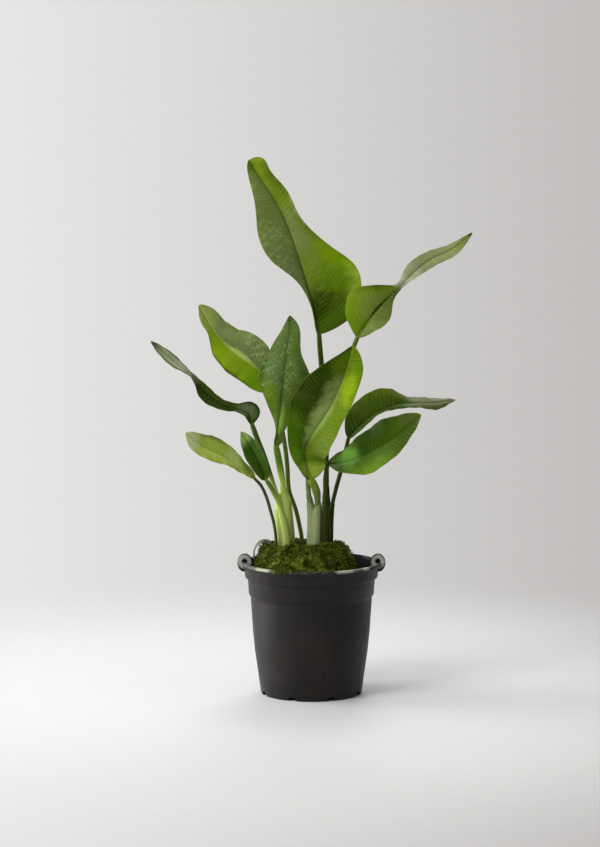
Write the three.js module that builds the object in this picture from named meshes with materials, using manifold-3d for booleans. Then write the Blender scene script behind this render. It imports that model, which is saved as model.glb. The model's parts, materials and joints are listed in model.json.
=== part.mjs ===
// A young bird of paradise in a plain black nursery pot, with moss over its soil.
// Millimetres, +Z up. The origin is the middle of the pot's bottom, +X is to the right, +Y to the back.
import * as THREE from 'three';
import { mergeVertices } from 'three/addons/utils/BufferGeometryUtils.js';
import Module from 'manifold-3d';

const wasm = await Module();
wasm.setup();

// Pot
const POT_HEIGHT = 230;
const POT_BASE_RADIUS = 88;
const POT_RIM_RADIUS = 119;
const POT_COLLAR_RADIUS = 115.2;
const POT_WALL = 2.6;
const POT_FLOOR = 3.6;
const POT_SIDES = 44;
const DRAIN_COUNT = 8;
const DRAIN_RADIUS = 8;
const DRAIN_LENGTH = 20;
const DRAIN_SIDES = 12;
const EAR_WIDTH = 26;
const EAR_HEIGHT = 31;
const EAR_DEPTH = 14;
const EAR_HOLE_RADIUS = 3.8;
const EAR_HOLE_RISE = 3;
const EAR_WEB = 2;
const EAR_SIDES = 18;
const EAR_CENTRE = { x: 115.5, z: 228 };

// Soil and moss
const SOIL_TOP = 212;
const SOIL_GAP = 0.5;
const SOIL_GRIP = 54;
const MOSS_RISE = 44;
const MOSS_EDGE = 5;
const MOSS_CENTRE = { x: -11, y: -6 };
const MOSS_REACH = { x: 86, y: 99 };
const MOSS_LIMIT = 109.5;
const MOSS_GAP = 0.4;
const MOSS_RINGS = 7;
const MOSS_SECTORS = 28;

// Leaves and stalks
const BLADE_THICKNESS = 1.2;
const RIB_TIP_RADIUS = 0.9;
const ARCH = 24;
const STALK_SIDES = 10;
const PETIOLE_SIDES = 8;
const STEM_SAMPLES = 400;
const RING_SPACING = 25;
const SOCKET_DEPTH = 38;
const CLEARANCE = 0.35;
const LEAF_ROUGHNESS = 0.42;
const STALK_ROUGHNESS = 0.5;
const POT_ROUGHNESS = 0.45;
const EARTH_ROUGHNESS = 0.95;
const POT_COLOUR = 0x2b2926;
const SOIL_COLOUR = 0x2e2419;
const MOSS_COLOUR = 0x4f5c22;

const FOOT = SOIL_TOP - SOIL_GRIP;

// One station of a blade: where its rib is, the way its upper side looks, the widths of its
// left and right half, and how many degrees each half is raised.
const station = (at, face, wide, lift) => ({ at, face, wide, lift });

// A leaf's stem runs from the soil to the foot of the blade. Up to the height sheathTop it is wrapped in
// its sheath, and the sheaths of one clump are grown together to a stalk.
const LEAVES = [
  {
    name: 'leaf_top',
    stalk: 'stalk_right',
    colour: 0x55742c,
    stem: [
      [25, 17, FOOT], [25, 17, 257], [26, 18, 335], [26, 22, 405],
      [24, 22, 492], [18, 16, 562], [15, 10, 597], [13, 6, 624],
    ],
    petiole: 4.6,
    sheathTop: 366,
    sheath: [9.5, 9.5, 8.5, 6],
    rows: 20,
    base: 0.06,
    tip: 0.1,
    wave: { height: 3, count: 3, phase: 0.5 },
    stations: [
      station([13, 6, 624], [0.2, -1, 0], [9, 42], [45, 12]),
      station([3, 5, 671], [0.2, -1, 0], [5, 84], [40, 12]),
      station([-9, 7, 715], [0.2, -1, 0], [17, 90], [30, 10]),
      station([-25, 12, 765], [0.15, -1, 0], [53, 54], [20, 10]),
      station([-42, 18, 812], [0.1, -1, 0], [56, 28], [15, 15]),
      station([-64, 26, 855], [0, -1, 0.1], [38, 29], [15, 20]),
      station([-89, 34, 892], [0, -1, 0.1], [20, 24], [15, 20]),
      station([-108, 42, 923], [0, -1, 0.1], [9, 31], [20, 20]),
    ],
  },
  {
    name: 'leaf_up_right',
    stalk: 'stalk_mid',
    colour: 0x5d7f2f,
    stem: [
      [4, 10, FOOT], [4, 9, 259], [2, 6, 310], [-6, 1, 366],
      [0, -6, 433], [25, -16, 502], [58, -30, 572], [78, -40, 622],
    ],
    petiole: 4.2,
    sheathTop: 350,
    sheath: [9.5, 9.5, 8.2, 5.4],
    rows: 18,
    base: 0.1,
    tip: 0.2,
    wave: { height: 2, count: 3, phase: 1 },
    stations: [
      station([78, -40, 622], [-0.4, -1, 0.3], [14, 8], [15, 20]),
      station([92, -47, 645], [-0.4, -1, 0.3], [45, 25], [12, 25]),
      station([110, -51, 669], [-0.3, -1, 0.4], [57, 41], [10, 25]),
      station([131, -45, 691], [0, -1, 0.6], [31, 13], [12, 25]),
      station([151, -31, 709], [0.4, -0.9, 1], [8, 4.5], [10, 10]),
      station([176, -10, 733], [0.6, -0.9, 1], [17, 12], [10, 10]),
      station([207, 14, 754], [0.6, -0.9, 1], [15, 15], [10, 10]),
      station([243, 35, 770], [0.6, -0.9, 1], [11, 15], [10, 10]),
      station([278, 50, 797], [0.6, -0.9, 1], [6, 9], [10, 10]),
    ],
  },
  {
    name: 'leaf_high_left',
    stalk: null,
    colour: 0x7a8f4a,
    stem: [
      [-14, 24, FOOT], [-16, 25, 255], [-21, 28, 290], [-28, 30, 319],
      [-39, 32, 351], [-42, 33, 392], [-46, 33, 428], [-53, 33, 466],
      [-63, 33, 498], [-75, 32, 522],
    ],
    petiole: 3.9,
    rows: 20,
    base: 0.1,
    tip: 0.14,
    wave: { height: 2, count: 3, phase: 0.2 },
    stations: [
      station([-75, 32, 522], [-0.2, -1, 0.5], [22, 14], [20, 20]),
      station([-86, 33, 552], [-0.2, -1, 0.5], [36, 28], [20, 20]),
      station([-103, 35, 574], [-0.2, -1, 0.5], [43, 40], [15, 20]),
      station([-124, 39, 591], [-0.2, -1, 0.5], [46, 40], [15, 20]),
      station([-147, 46, 605], [-0.1, -1, 0.6], [36, 32], [15, 20]),
      station([-168, 55, 625], [0.1, -1, 0.7], [16, 28], [15, 10]),
      station([-182, 63, 647], [0.3, -1, 0.7], [14, 24], [10, 10]),
      station([-196, 72, 671], [0.4, -1, 0.7], [6, 17], [10, 10]),
    ],
  },
  {
    name: 'leaf_patterned',
    stalk: 'stalk_left',
    colour: 0x5f7a4a,
    stem: [
      [-42, 3, FOOT], [-43, 2, 259], [-46, 0, 311], [-48, 0, 355],
      [-54, -1, 393], [-61, -5, 432],
    ],
    petiole: 4.8,
    sheathTop: 364,
    sheath: [13, 13, 12.5, 7.5],
    rows: 16,
    base: 0.1,
    tip: 0.14,
    wave: { height: 3, count: 3, phase: 1 },
    stations: [
      station([-61, -5, 432], [0.3, -1, 0.2], [10, 12], [30, 30]),
      station([-58, -12, 464], [0.3, -1, 0.2], [5, 14], [30, 30]),
      station([-52, -20, 510], [0.2, -1, 0.3], [29, 34], [20, 30]),
      station([-47, -28, 556], [0.1, -1, 0.3], [47, 48], [20, 20]),
      station([-42, -34, 601], [0, -1, 0.2], [30, 27], [20, 20]),
      station([-37, -36, 635], [0, -1, 0.1], [15, 19], [20, 20]),
      station([-37, -36, 660], [0, -1, 0], [5, 8], [20, 20]),
    ],
  },
  {
    name: 'leaf_front',
    stalk: 'stalk_mid',
    colour: 0x6b8f1c,
    stem: [
      [8, -6, FOOT], [8, -5, 259], [11, -4, 312], [13, -6, 344],
      [9, -11, 362], [-1, -18, 376],
    ],
    petiole: 5.2,
    sheathTop: 334,
    sheath: [9, 9, 8.5, 6.6],
    rows: 20,
    base: 0.08,
    tip: 0.14,
    wave: { height: 2, count: 3, phase: 0 },
    stations: [
      station([-1, -18, 376], [0.1, -1, 0.4], [9, 17], [30, 30]),
      station([-9, -28, 404], [0.1, -1, 0.4], [19, 29], [30, 30]),
      station([-10, -40, 429], [0.1, -1, 0.4], [31, 38], [28, 30]),
      station([1, -54, 457], [0.1, -1, 0.4], [47, 48], [25, 30]),
      station([18, -66, 484], [0.1, -1, 0.4], [64, 44], [20, 30]),
      station([35, -80, 513], [0.1, -1, 0.4], [68, 37], [20, 30]),
      station([48, -92, 544], [0.1, -1, 0.3], [65, 35], [20, 30]),
      station([60, -103, 578], [0.1, -1, 0.2], [42, 32], [20, 30]),
      station([69, -110, 614], [0.1, -1, 0.1], [11, 22], [20, 20]),
    ],
  },
  {
    name: 'leaf_out_right',
    stalk: 'stalk_right',
    colour: 0x3f6420,
    stem: [
      [30, 1.5, FOOT], [30, 1.5, 259], [33, 2, 311], [42, 6, 354],
      [54, 14, 397], [64, 20, 442],
    ],
    petiole: 3.7,
    sheathTop: 330,
    sheath: [8.4, 8.4, 7.4, 5],
    rows: 18,
    base: 0.1,
    tip: 0.25,
    wave: { height: 1.5, count: 3, phase: 0 },
    stations: [
      station([64, 20, 442], [-0.6, -1, 0.6], [16, 8], [20, 20]),
      station([88, 20, 468], [-0.6, -1, 0.8], [35, 13], [20, 20]),
      station([114, 25, 488], [-0.2, -0.8, 1], [40, 13], [20, 20]),
      station([145, 35, 499], [0.1, -0.5, 1], [34, 11], [30, 0]),
      station([181, 50, 501], [0.2, -0.1, 1], [26, 16], [10, -20]),
      station([216, 70, 499], [0.2, -0.1, 1], [24, 18], [10, -20]),
      station([253, 90, 503], [0.2, -0.1, 1], [14, 7], [10, -20]),
    ],
  },
  {
    name: 'leaf_low_right',
    stalk: 'stalk_right',
    colour: 0x35591c,
    stem: [
      [25, -13, FOOT], [25, -13, 261], [25, -14, 313], [24, -16, 352],
      [24, -18, 378], [28, -22, 403],
    ],
    petiole: 3.8,
    sheathTop: 338,
    sheath: [8.6, 8.6, 7.6, 5.2],
    rows: 16,
    base: 0.1,
    tip: 0.12,
    wave: { height: 2, count: 3, phase: 2 },
    stations: [
      station([28, -22, 403], [-0.3, -1, 0.8], [11, 7], [15, 15]),
      station([64, -34, 410], [-0.3, -1, 0.9], [26, 34], [15, 15]),
      station([98, -45, 425], [-0.3, -1, 0.9], [41, 54], [10, 15]),
      station([131, -56, 445], [-0.3, -1, 0.9], [44, 49], [10, 15]),
      station([161, -64, 468], [-0.3, -1, 0.9], [32, 26], [10, 15]),
      station([186, -68, 493], [-0.3, -1, 0.9], [12, 6], [10, 10]),
    ],
  },
  {
    name: 'leaf_far_left',
    stalk: 'stalk_left',
    colour: 0x4c5f38,
    stem: [
      [-51, -6, FOOT], [-51, -6, 259], [-54, -7, 321], [-67, -8, 370],
      [-82, -8, 415], [-94, -8, 446], [-102, -10, 469],
    ],
    petiole: 4.2,
    sheathTop: 350,
    sheath: [12, 12, 11, 6.6],
    rows: 18,
    base: 0.14,
    tip: 0.2,
    wave: { height: 1.5, count: 3, phase: 0 },
    stations: [
      station([-102, -10, 469], [0.3, -1, 0.3], [7, 8], [20, 20]),
      station([-109, -14, 489], [0.3, -1, 0.3], [10, 22], [20, 20]),
      station([-130, -20, 498], [0.2, -1, 0.5], [6, 10], [20, 20]),
      station([-153, -28, 506], [0.2, -1, 0.8], [16, 10], [20, 20]),
      station([-181, -38, 527], [0.2, -1, 0.9], [23, 12], [20, 20]),
      station([-204, -50, 558], [0.3, -0.8, 1], [9, 5], [10, 10]),
      station([-237, -62, 586], [0.4, -0.9, 1], [17, 13], [10, 10]),
      station([-272, -76, 619], [0.5, -0.9, 1], [20, 8], [10, 10]),
    ],
  },
  {
    name: 'leaf_low_left',
    stalk: null,
    colour: 0x758b3f,
    stem: [
      [-61, -24, FOOT], [-61, -24, 262], [-64, -24, 296], [-70, -23, 320],
      [-77, -21, 344], [-86, -20, 364], [-97, -22, 377],
    ],
    petiole: 2.8,
    rows: 14,
    base: 0.1,
    tip: 0.12,
    wave: { height: 1.5, count: 3, phase: 0 },
    stations: [
      station([-97, -22, 377], [0.3, -0.8, 1], [6, 10], [10, 10]),
      station([-123, -32, 399], [0.3, -0.8, 1], [14, 18], [10, 10]),
      station([-153, -46, 420], [0.3, -0.8, 1], [24, 32], [10, 10]),
      station([-185, -60, 437], [0.3, -0.8, 1], [32, 27], [10, 10]),
      station([-215, -74, 462], [0.3, -0.8, 1], [26, 8], [10, 10]),
    ],
  },
  {
    name: 'leaf_small',
    stalk: 'stalk_left',
    colour: 0x2e4a1a,
    stem: [
      [-42, -12, FOOT], [-43, -12, 259], [-48, -14, 300], [-57, -19, 335],
      [-68, -29, 360], [-78, -40, 378],
    ],
    petiole: 3.2,
    sheathTop: 324,
    sheath: [9, 9, 7.4, 4.6],
    rows: 12,
    base: 0.1,
    tip: 0.15,
    wave: { height: 1, count: 3, phase: 0 },
    stations: [
      station([-78, -40, 378], [0.3, -1, 0.2], [8, 8], [20, 20]),
      station([-88, -48, 404], [0.3, -1, 0.2], [18, 13], [20, 20]),
      station([-102, -55, 433], [0.3, -1, 0.2], [21, 14], [20, 20]),
      station([-120, -62, 463], [0.3, -1, 0.2], [6, 6], [10, 10]),
    ],
  },
];

const STALKS = [
  { name: 'stalk_left', colour: 0x8fa35a },
  { name: 'stalk_mid', colour: 0x7d8a5c },
  { name: 'stalk_right', colour: 0x3c4a22 },
];

// Turns a three.js geometry into a solid for joining and cutting.
function toSolid(geometry) {
  const plain = geometry.index ? geometry.clone() : geometry;
  plain.deleteAttribute('normal');
  plain.deleteAttribute('uv');
  const merged = mergeVertices(plain, 1e-4);
  const vertProperties = new Float32Array(merged.attributes.position.array);
  const triVerts = new Uint32Array(merged.index.array);
  return new wasm.Manifold(new wasm.Mesh({ numProp: 3, vertProperties, triVerts }));
}

// Turns a solid back into a three.js geometry.
function toGeometry(solid) {
  const mesh = solid.getMesh();
  const geometry = new THREE.BufferGeometry();
  geometry.setAttribute('position', new THREE.BufferAttribute(mesh.vertProperties, 3));
  geometry.setIndex(new THREE.BufferAttribute(mesh.triVerts, 1));
  geometry.computeVertexNormals();
  return geometry;
}

function geometryOf(points, triangles) {
  const geometry = new THREE.BufferGeometry();
  geometry.setAttribute('position', new THREE.Float32BufferAttribute(points.flatMap((p) => p.toArray()), 3));
  geometry.setIndex(triangles);
  return geometry;
}

// A smooth track through a list of points, widths or angles.
function track(rows) {
  const points = rows.map((row) => new THREE.Vector3(row[0], row[1], row[2] ?? 0));
  return new THREE.CatmullRomCurve3(points, false, 'catmullrom', 0.5);
}

// A closed tube round a list of centres, with a radius for each.
function tube(centres, radii, sides) {
  const points = [];
  const triangles = [];
  const toBack = new THREE.Vector3(0, 1, 0);
  centres.forEach((centre, i) => {
    const before = centres[Math.max(i - 1, 0)];
    const after = centres[Math.min(i + 1, centres.length - 1)];
    const along = after.clone().sub(before).normalize();
    const across = along.clone().cross(toBack).normalize();
    const outward = across.clone().cross(along);
    for (let k = 0; k < sides; k += 1) {
      const angle = ((k + 0.5) / sides) * 2 * Math.PI;
      const point = centre.clone();
      point.addScaledVector(across, radii[i] * Math.cos(angle));
      point.addScaledVector(outward, -radii[i] * Math.sin(angle));
      points.push(point);
    }
  });
  const last = (centres.length - 1) * sides;
  for (let i = 0; i < last; i += sides) {
    for (let k = 0; k < sides; k += 1) {
      const next = (k + 1) % sides;
      triangles.push(i + k, i + next, i + sides + next);
      triangles.push(i + k, i + sides + next, i + sides + k);
    }
  }
  for (let k = 1; k < sides - 1; k += 1) {
    triangles.push(0, k + 1, k);
    triangles.push(last, last + k, last + k + 1);
  }
  return geometryOf(points, triangles);
}

// The centres of a leaf's stem between two heights.
function stretch(leaf, low, high) {
  const fine = track(leaf.stem).getPoints(STEM_SAMPLES).filter((p) => p.z >= low && p.z <= high);
  const count = Math.max(3, Math.round((high - low) / RING_SPACING));
  const centres = [];
  for (let i = 0; i <= count; i += 1) {
    centres.push(fine[Math.round((i / count) * (fine.length - 1))].clone());
  }
  return centres;
}

// The sheath round the lower part of a leaf's stem.
function sheath(leaf, extra = 0) {
  const centres = stretch(leaf, FOOT, leaf.sheathTop);
  const thickness = track(leaf.sheath.map((radius) => [radius, 0, 0]));
  const radii = centres.map((centre, i) => thickness.getPoint(i / (centres.length - 1)).x + extra);
  return toSolid(tube(centres, radii, STALK_SIDES));
}

// The petiole runs from its socket, or from its hole in the soil, into the underside of the blade.
function petiole(leaf, rib, extra = 0) {
  const top = leaf.stem.at(-1)[2];
  const foot = leaf.stalk ? leaf.sheathTop - SOCKET_DEPTH : FOOT;
  const centres = stretch(leaf, foot, top);
  const radii = centres.map(() => leaf.petiole + extra);
  if (extra > 0) {
    centres[0].addScaledVector(centres[0].clone().sub(centres[1]).normalize(), extra);
  } else {
    for (const row of rib.slice(1, 3)) {
      centres.push(row.at.clone().addScaledVector(row.normal, -0.35 * row.rib));
      radii.push(0.85 * row.rib);
    }
  }
  return toSolid(tube(centres, radii, PETIOLE_SIDES));
}

// Rounds a blade off towards its foot and its tip.
function rounding(share, base, tip) {
  const atBase = Math.min(share / base, 1);
  const atTip = Math.min((1 - share) / tip, 1);
  return Math.sqrt(1 - (1 - atBase) ** 2) * Math.sqrt(1 - (1 - atTip) ** 2);
}

// The rows of a blade along its rib, closer together towards both ends.
function bladeRows(leaf) {
  const tracks = {};
  for (const key of ['at', 'face', 'wide', 'lift']) {
    tracks[key] = track(leaf.stations.map((s) => s[key]));
  }
  const rows = [];
  for (let i = 0; i <= leaf.rows; i += 1) {
    const even = i / leaf.rows;
    const share = 0.4 * even + 0.6 * (0.5 - 0.5 * Math.cos(Math.PI * even));
    const wide = tracks.wide.getPoint(share);
    const round = rounding(share, leaf.base, leaf.tip);
    rows.push({
      share,
      at: tracks.at.getPoint(share),
      face: tracks.face.getPoint(share),
      wide: [wide.x, wide.y].map((w) => Math.max(w * round, 1.6)),
      lift: tracks.lift.getPoint(share),
      rib: THREE.MathUtils.lerp(0.85 * leaf.petiole, RIB_TIP_RADIUS, Math.sqrt(share)),
    });
  }
  rows.forEach((row, i) => {
    const before = rows[Math.max(i - 1, 0)].at;
    const after = rows[Math.min(i + 1, leaf.rows)].at;
    const along = after.clone().sub(before).normalize();
    row.normal = row.face.clone().addScaledVector(along, -row.face.dot(along)).normalize();
    row.side = along.clone().cross(row.normal);
  });
  return rows;
}

// Across a blade: the rib, its edge, and three steps to the margin, on both sides.
function crossSection(leaf, row) {
  const top = [];
  const bottom = [];
  const half = BLADE_THICKNESS / 2;
  [-1, 1].forEach((sign, k) => {
    const width = row.wide[k];
    const lift = k === 0 ? row.lift.x : row.lift.y;
    const ribShare = Math.min((1.1 * row.rib) / width, 0.3);
    const shares = [ribShare, ribShare + (1 - ribShare) / 3, ribShare + (2 * (1 - ribShare)) / 3, 1];
    const edge = row.at.clone();
    const upper = [];
    const lower = [];
    let reached = 0;
    for (const share of shares) {
      const angle = THREE.MathUtils.degToRad(lift + ARCH * (0.5 - (reached + share) / 2));
      const step = width * (share - reached);
      edge.addScaledVector(row.side, sign * step * Math.cos(angle));
      edge.addScaledVector(row.normal, step * Math.sin(angle));
      const { height, count, phase } = leaf.wave;
      const ripple = Math.sin(2 * Math.PI * count * row.share + phase + k * 1.7);
      const swing = height * share ** 2 * Math.sin(Math.PI * row.share) * ripple;
      const outward = row.normal.clone().multiplyScalar(Math.cos(angle));
      outward.addScaledVector(row.side, -sign * Math.sin(angle));
      const middle = edge.clone().addScaledVector(row.normal, swing);
      upper.push(middle.clone().addScaledVector(outward, half));
      lower.push(middle.clone().addScaledVector(outward, -half));
      reached = share;
    }
    if (sign < 0) {
      upper.reverse();
      lower.reverse();
    }
    top.push(...upper);
    bottom.push(...lower);
    if (sign < 0) {
      top.push(row.at.clone().addScaledVector(row.normal, half));
      bottom.push(row.at.clone().addScaledVector(row.normal, -half - row.rib));
    }
  });
  return { top, bottom };
}

// The blade as one closed sheet, its upper and lower side split into triangles alike.
function blade(leaf, rows) {
  const sections = rows.map((row) => crossSection(leaf, row));
  const columns = sections[0].top.length;
  const points = sections.flatMap(({ top, bottom }) => [...top, ...bottom]);
  const upper = (i, j) => i * 2 * columns + j;
  const lower = (i, j) => upper(i, j) + columns;
  const triangles = [];
  const quad = (a, b, c, d) => triangles.push(a, b, c, a, c, d);
  const end = rows.length - 1;
  const right = columns - 1;
  for (let i = 0; i < end; i += 1) {
    for (let j = 0; j < right; j += 1) {
      quad(upper(i, j), upper(i, j + 1), upper(i + 1, j + 1), upper(i + 1, j));
      triangles.push(lower(i, j), lower(i + 1, j + 1), lower(i, j + 1));
      triangles.push(lower(i, j), lower(i + 1, j), lower(i + 1, j + 1));
    }
    quad(upper(i, 0), upper(i + 1, 0), lower(i + 1, 0), lower(i, 0));
    quad(upper(i, right), lower(i, right), lower(i + 1, right), upper(i + 1, right));
  }
  for (let j = 0; j < right; j += 1) {
    quad(upper(0, j), lower(0, j), lower(0, j + 1), upper(0, j + 1));
    quad(upper(end, j), upper(end, j + 1), lower(end, j + 1), lower(end, j));
  }
  return toSolid(geometryOf(points, triangles));
}

// The pot's outer radius at each height where its side bends, from the bottom up.
const POT_SIDE = [
  [POT_BASE_RADIUS - 3, 0],
  [POT_BASE_RADIUS, 3],
  [93, 39],
  [98, 74],
  [101.5, 109],
  [105, 163],
  [105.3, 171],
  [108.6, 174],
  [110.2, 200],
  [POT_COLLAR_RADIUS, 205],
  [POT_COLLAR_RADIUS + 0.8, POT_HEIGHT - 9],
  [POT_RIM_RADIUS, POT_HEIGHT - 7],
  [POT_RIM_RADIUS + 1, POT_HEIGHT - 3.5],
  [POT_RIM_RADIUS - 0.5, POT_HEIGHT - 0.8],
  [POT_RIM_RADIUS - 2.5, POT_HEIGHT],
];
const POT_INSIDE = [
  [POT_RIM_RADIUS - 5, POT_HEIGHT],
  [POT_RIM_RADIUS - 6, POT_HEIGHT - 2],
  [POT_COLLAR_RADIUS + 0.8 - POT_WALL, POT_HEIGHT - 9],
  [POT_COLLAR_RADIUS - POT_WALL, 206],
  [110.2 - POT_WALL, 202],
  [105 - POT_WALL, 163],
  [101.5 - POT_WALL, 109],
  [98 - POT_WALL, 74],
  [93 - POT_WALL, 39],
  [POT_BASE_RADIUS - POT_WALL, POT_FLOOR + 4],
  [POT_BASE_RADIUS - POT_WALL - 4, POT_FLOOR],
];

function lathe(profile) {
  const points = profile.map(([radius, height]) => new THREE.Vector2(radius, height));
  return new THREE.LatheGeometry(points, POT_SIDES).rotateX(Math.PI / 2);
}

// A grip ear: an upright oval lug on the rim, with a blind round hole in both of its flat sides.
function ear(sign) {
  const oval = new THREE.Shape().absellipse(0, 0, EAR_WIDTH / 2, EAR_HEIGHT / 2, 0, 2 * Math.PI);
  const options = { depth: EAR_DEPTH, bevelEnabled: false, curveSegments: EAR_SIDES };
  const lug = new THREE.ExtrudeGeometry(oval, options);
  lug.translate(0, 0, -EAR_DEPTH / 2).rotateX(Math.PI / 2);
  let solid = toSolid(lug.translate(sign * EAR_CENTRE.x, 0, EAR_CENTRE.z));
  const holeOffset = (EAR_DEPTH + EAR_WEB) / 2;
  for (const face of [-1, 1]) {
    const hole = new THREE.CylinderGeometry(EAR_HOLE_RADIUS, EAR_HOLE_RADIUS, EAR_DEPTH, EAR_SIDES);
    hole.translate(sign * EAR_CENTRE.x, face * holeOffset, EAR_CENTRE.z + EAR_HOLE_RISE);
    solid = solid.subtract(toSolid(hole));
  }
  return solid;
}

function pot() {
  const profile = [[0, 0], ...POT_SIDE, ...POT_INSIDE, [0, POT_FLOOR]];
  let solid = toSolid(lathe(profile));
  solid = solid.add(ear(-1)).add(ear(1));
  for (let k = 0; k < DRAIN_COUNT; k += 1) {
    const notch = new THREE.CylinderGeometry(DRAIN_RADIUS, DRAIN_RADIUS, DRAIN_LENGTH, DRAIN_SIDES);
    notch.rotateZ(Math.PI / 2).translate(POT_BASE_RADIUS - 2, 0, 0);
    notch.rotateZ(((k + 0.5) / DRAIN_COUNT) * 2 * Math.PI);
    solid = solid.subtract(toSolid(notch));
  }
  return solid;
}

// The root ball fills the pot and has a plain hole for each stalk and each stem that stands in it.
function soil(stems) {
  const side = POT_INSIDE.filter(([, z]) => z < SOIL_TOP).map(([r, z]) => [r - SOIL_GAP, z + SOIL_GAP]);
  const reach = POT_COLLAR_RADIUS - POT_WALL - SOIL_GAP;
  const profile = [[0, POT_FLOOR + SOIL_GAP], ...side.reverse(), [reach, SOIL_TOP], [0, SOIL_TOP]];
  return stems.reduce((solid, stem) => solid.subtract(stem), toSolid(lathe(profile)));
}

// The height of the moss: a mound, steep at its edge, with lumps.
function mossTop(x, y, share) {
  const mound = MOSS_EDGE + MOSS_RISE * (1 - share ** 7);
  const lumps = 2.6 * Math.sin(x / 9 + 1.3 * Math.sin(y / 17)) + 2.2 * Math.sin(y / 8 - x / 23);
  const leftLump = 14 * Math.exp(-(((x + 80) / 13) ** 2) - ((y - 2) / 26) ** 2);
  const rightLump = 8 * Math.exp(-(((x - 50) / 16) ** 2) - (y / 24) ** 2);
  return SOIL_TOP + Math.max(mound + lumps * (1 - 0.5 * share) + leftLump + rightLump, 2.5);
}

function moss(stems) {
  const points = [];
  const triangles = [];
  const bottom = SOIL_TOP + MOSS_GAP;
  const add = (x, y, z) => points.push(new THREE.Vector3(x, y, z)) - 1;
  const centreTop = add(MOSS_CENTRE.x, MOSS_CENTRE.y, mossTop(MOSS_CENTRE.x, MOSS_CENTRE.y, 0));
  const centreBottom = add(MOSS_CENTRE.x, MOSS_CENTRE.y, bottom);
  const rings = [];
  for (let i = 1; i <= MOSS_RINGS; i += 1) {
    const share = Math.sqrt(i / MOSS_RINGS) * 0.5 + (i / MOSS_RINGS) * 0.5;
    const ring = { top: [], bottom: [] };
    for (let k = 0; k < MOSS_SECTORS; k += 1) {
      const angle = (k / MOSS_SECTORS) * 2 * Math.PI;
      let x = MOSS_CENTRE.x + MOSS_REACH.x * Math.cos(angle);
      let y = MOSS_CENTRE.y + MOSS_REACH.y * Math.sin(angle);
      const inward = Math.min(MOSS_LIMIT / Math.hypot(x, y), 1);
      x = THREE.MathUtils.lerp(MOSS_CENTRE.x, x * inward, share);
      y = THREE.MathUtils.lerp(MOSS_CENTRE.y, y * inward, share);
      ring.top.push(add(x, y, mossTop(x, y, share)));
      ring.bottom.push(add(x, y, bottom));
    }
    rings.push(ring);
  }
  for (let k = 0; k < MOSS_SECTORS; k += 1) {
    const n = (k + 1) % MOSS_SECTORS;
    triangles.push(centreTop, rings[0].top[k], rings[0].top[n]);
    triangles.push(centreBottom, rings[0].bottom[n], rings[0].bottom[k]);
    for (let i = 0; i < MOSS_RINGS - 1; i += 1) {
      const [inner, outer] = [rings[i], rings[i + 1]];
      triangles.push(inner.top[k], outer.top[k], outer.top[n], inner.top[k], outer.top[n], inner.top[n]);
      triangles.push(inner.bottom[k], outer.bottom[n], outer.bottom[k]);
      triangles.push(inner.bottom[k], inner.bottom[n], outer.bottom[n]);
    }
    const edge = rings.at(-1);
    triangles.push(edge.top[k], edge.bottom[k], edge.bottom[n], edge.top[k], edge.bottom[n], edge.top[n]);
  }
  return stems.reduce((solid, stem) => solid.subtract(stem), toSolid(geometryOf(points, triangles)));
}

const plant = new THREE.Group();

function addMesh(name, solid, colour, roughness) {
  const material = new THREE.MeshStandardMaterial({ color: colour, roughness, metalness: 0 });
  const mesh = new THREE.Mesh(toGeometry(solid), material);
  mesh.name = name;
  plant.add(mesh);
}

const stemHoles = [];
const sockets = [];
for (const leaf of LEAVES) {
  const rows = bladeRows(leaf);
  addMesh(leaf.name, blade(leaf, rows).add(petiole(leaf, rows)), leaf.colour, LEAF_ROUGHNESS);
  sockets.push(petiole(leaf, rows, CLEARANCE));
  stemHoles.push(leaf.stalk ? sheath(leaf, CLEARANCE) : petiole(leaf, rows, CLEARANCE));
}
for (const { name, colour } of STALKS) {
  const sheaths = LEAVES.filter((leaf) => leaf.stalk === name).map((leaf) => sheath(leaf));
  const grown = sheaths.reduce((solid, next) => solid.add(next));
  const hollowed = sockets.reduce((solid, socket) => solid.subtract(socket), grown);
  addMesh(name, hollowed, colour, STALK_ROUGHNESS);
}
addMesh('pot', pot(), POT_COLOUR, POT_ROUGHNESS);
addMesh('soil', soil(stemHoles), SOIL_COLOUR, EARTH_ROUGHNESS);
addMesh('moss', moss(stemHoles), MOSS_COLOUR, EARTH_ROUGHNESS);

export default plant;
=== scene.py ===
"""The looks of a young bird of paradise in a black nursery pot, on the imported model.

Sizes are in millimetres, as in the part's source, and MM turns them into the frame's metres.
Each leaf and stalk follows the same stations as its solid, with many more points.
"""
import json
import math

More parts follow.
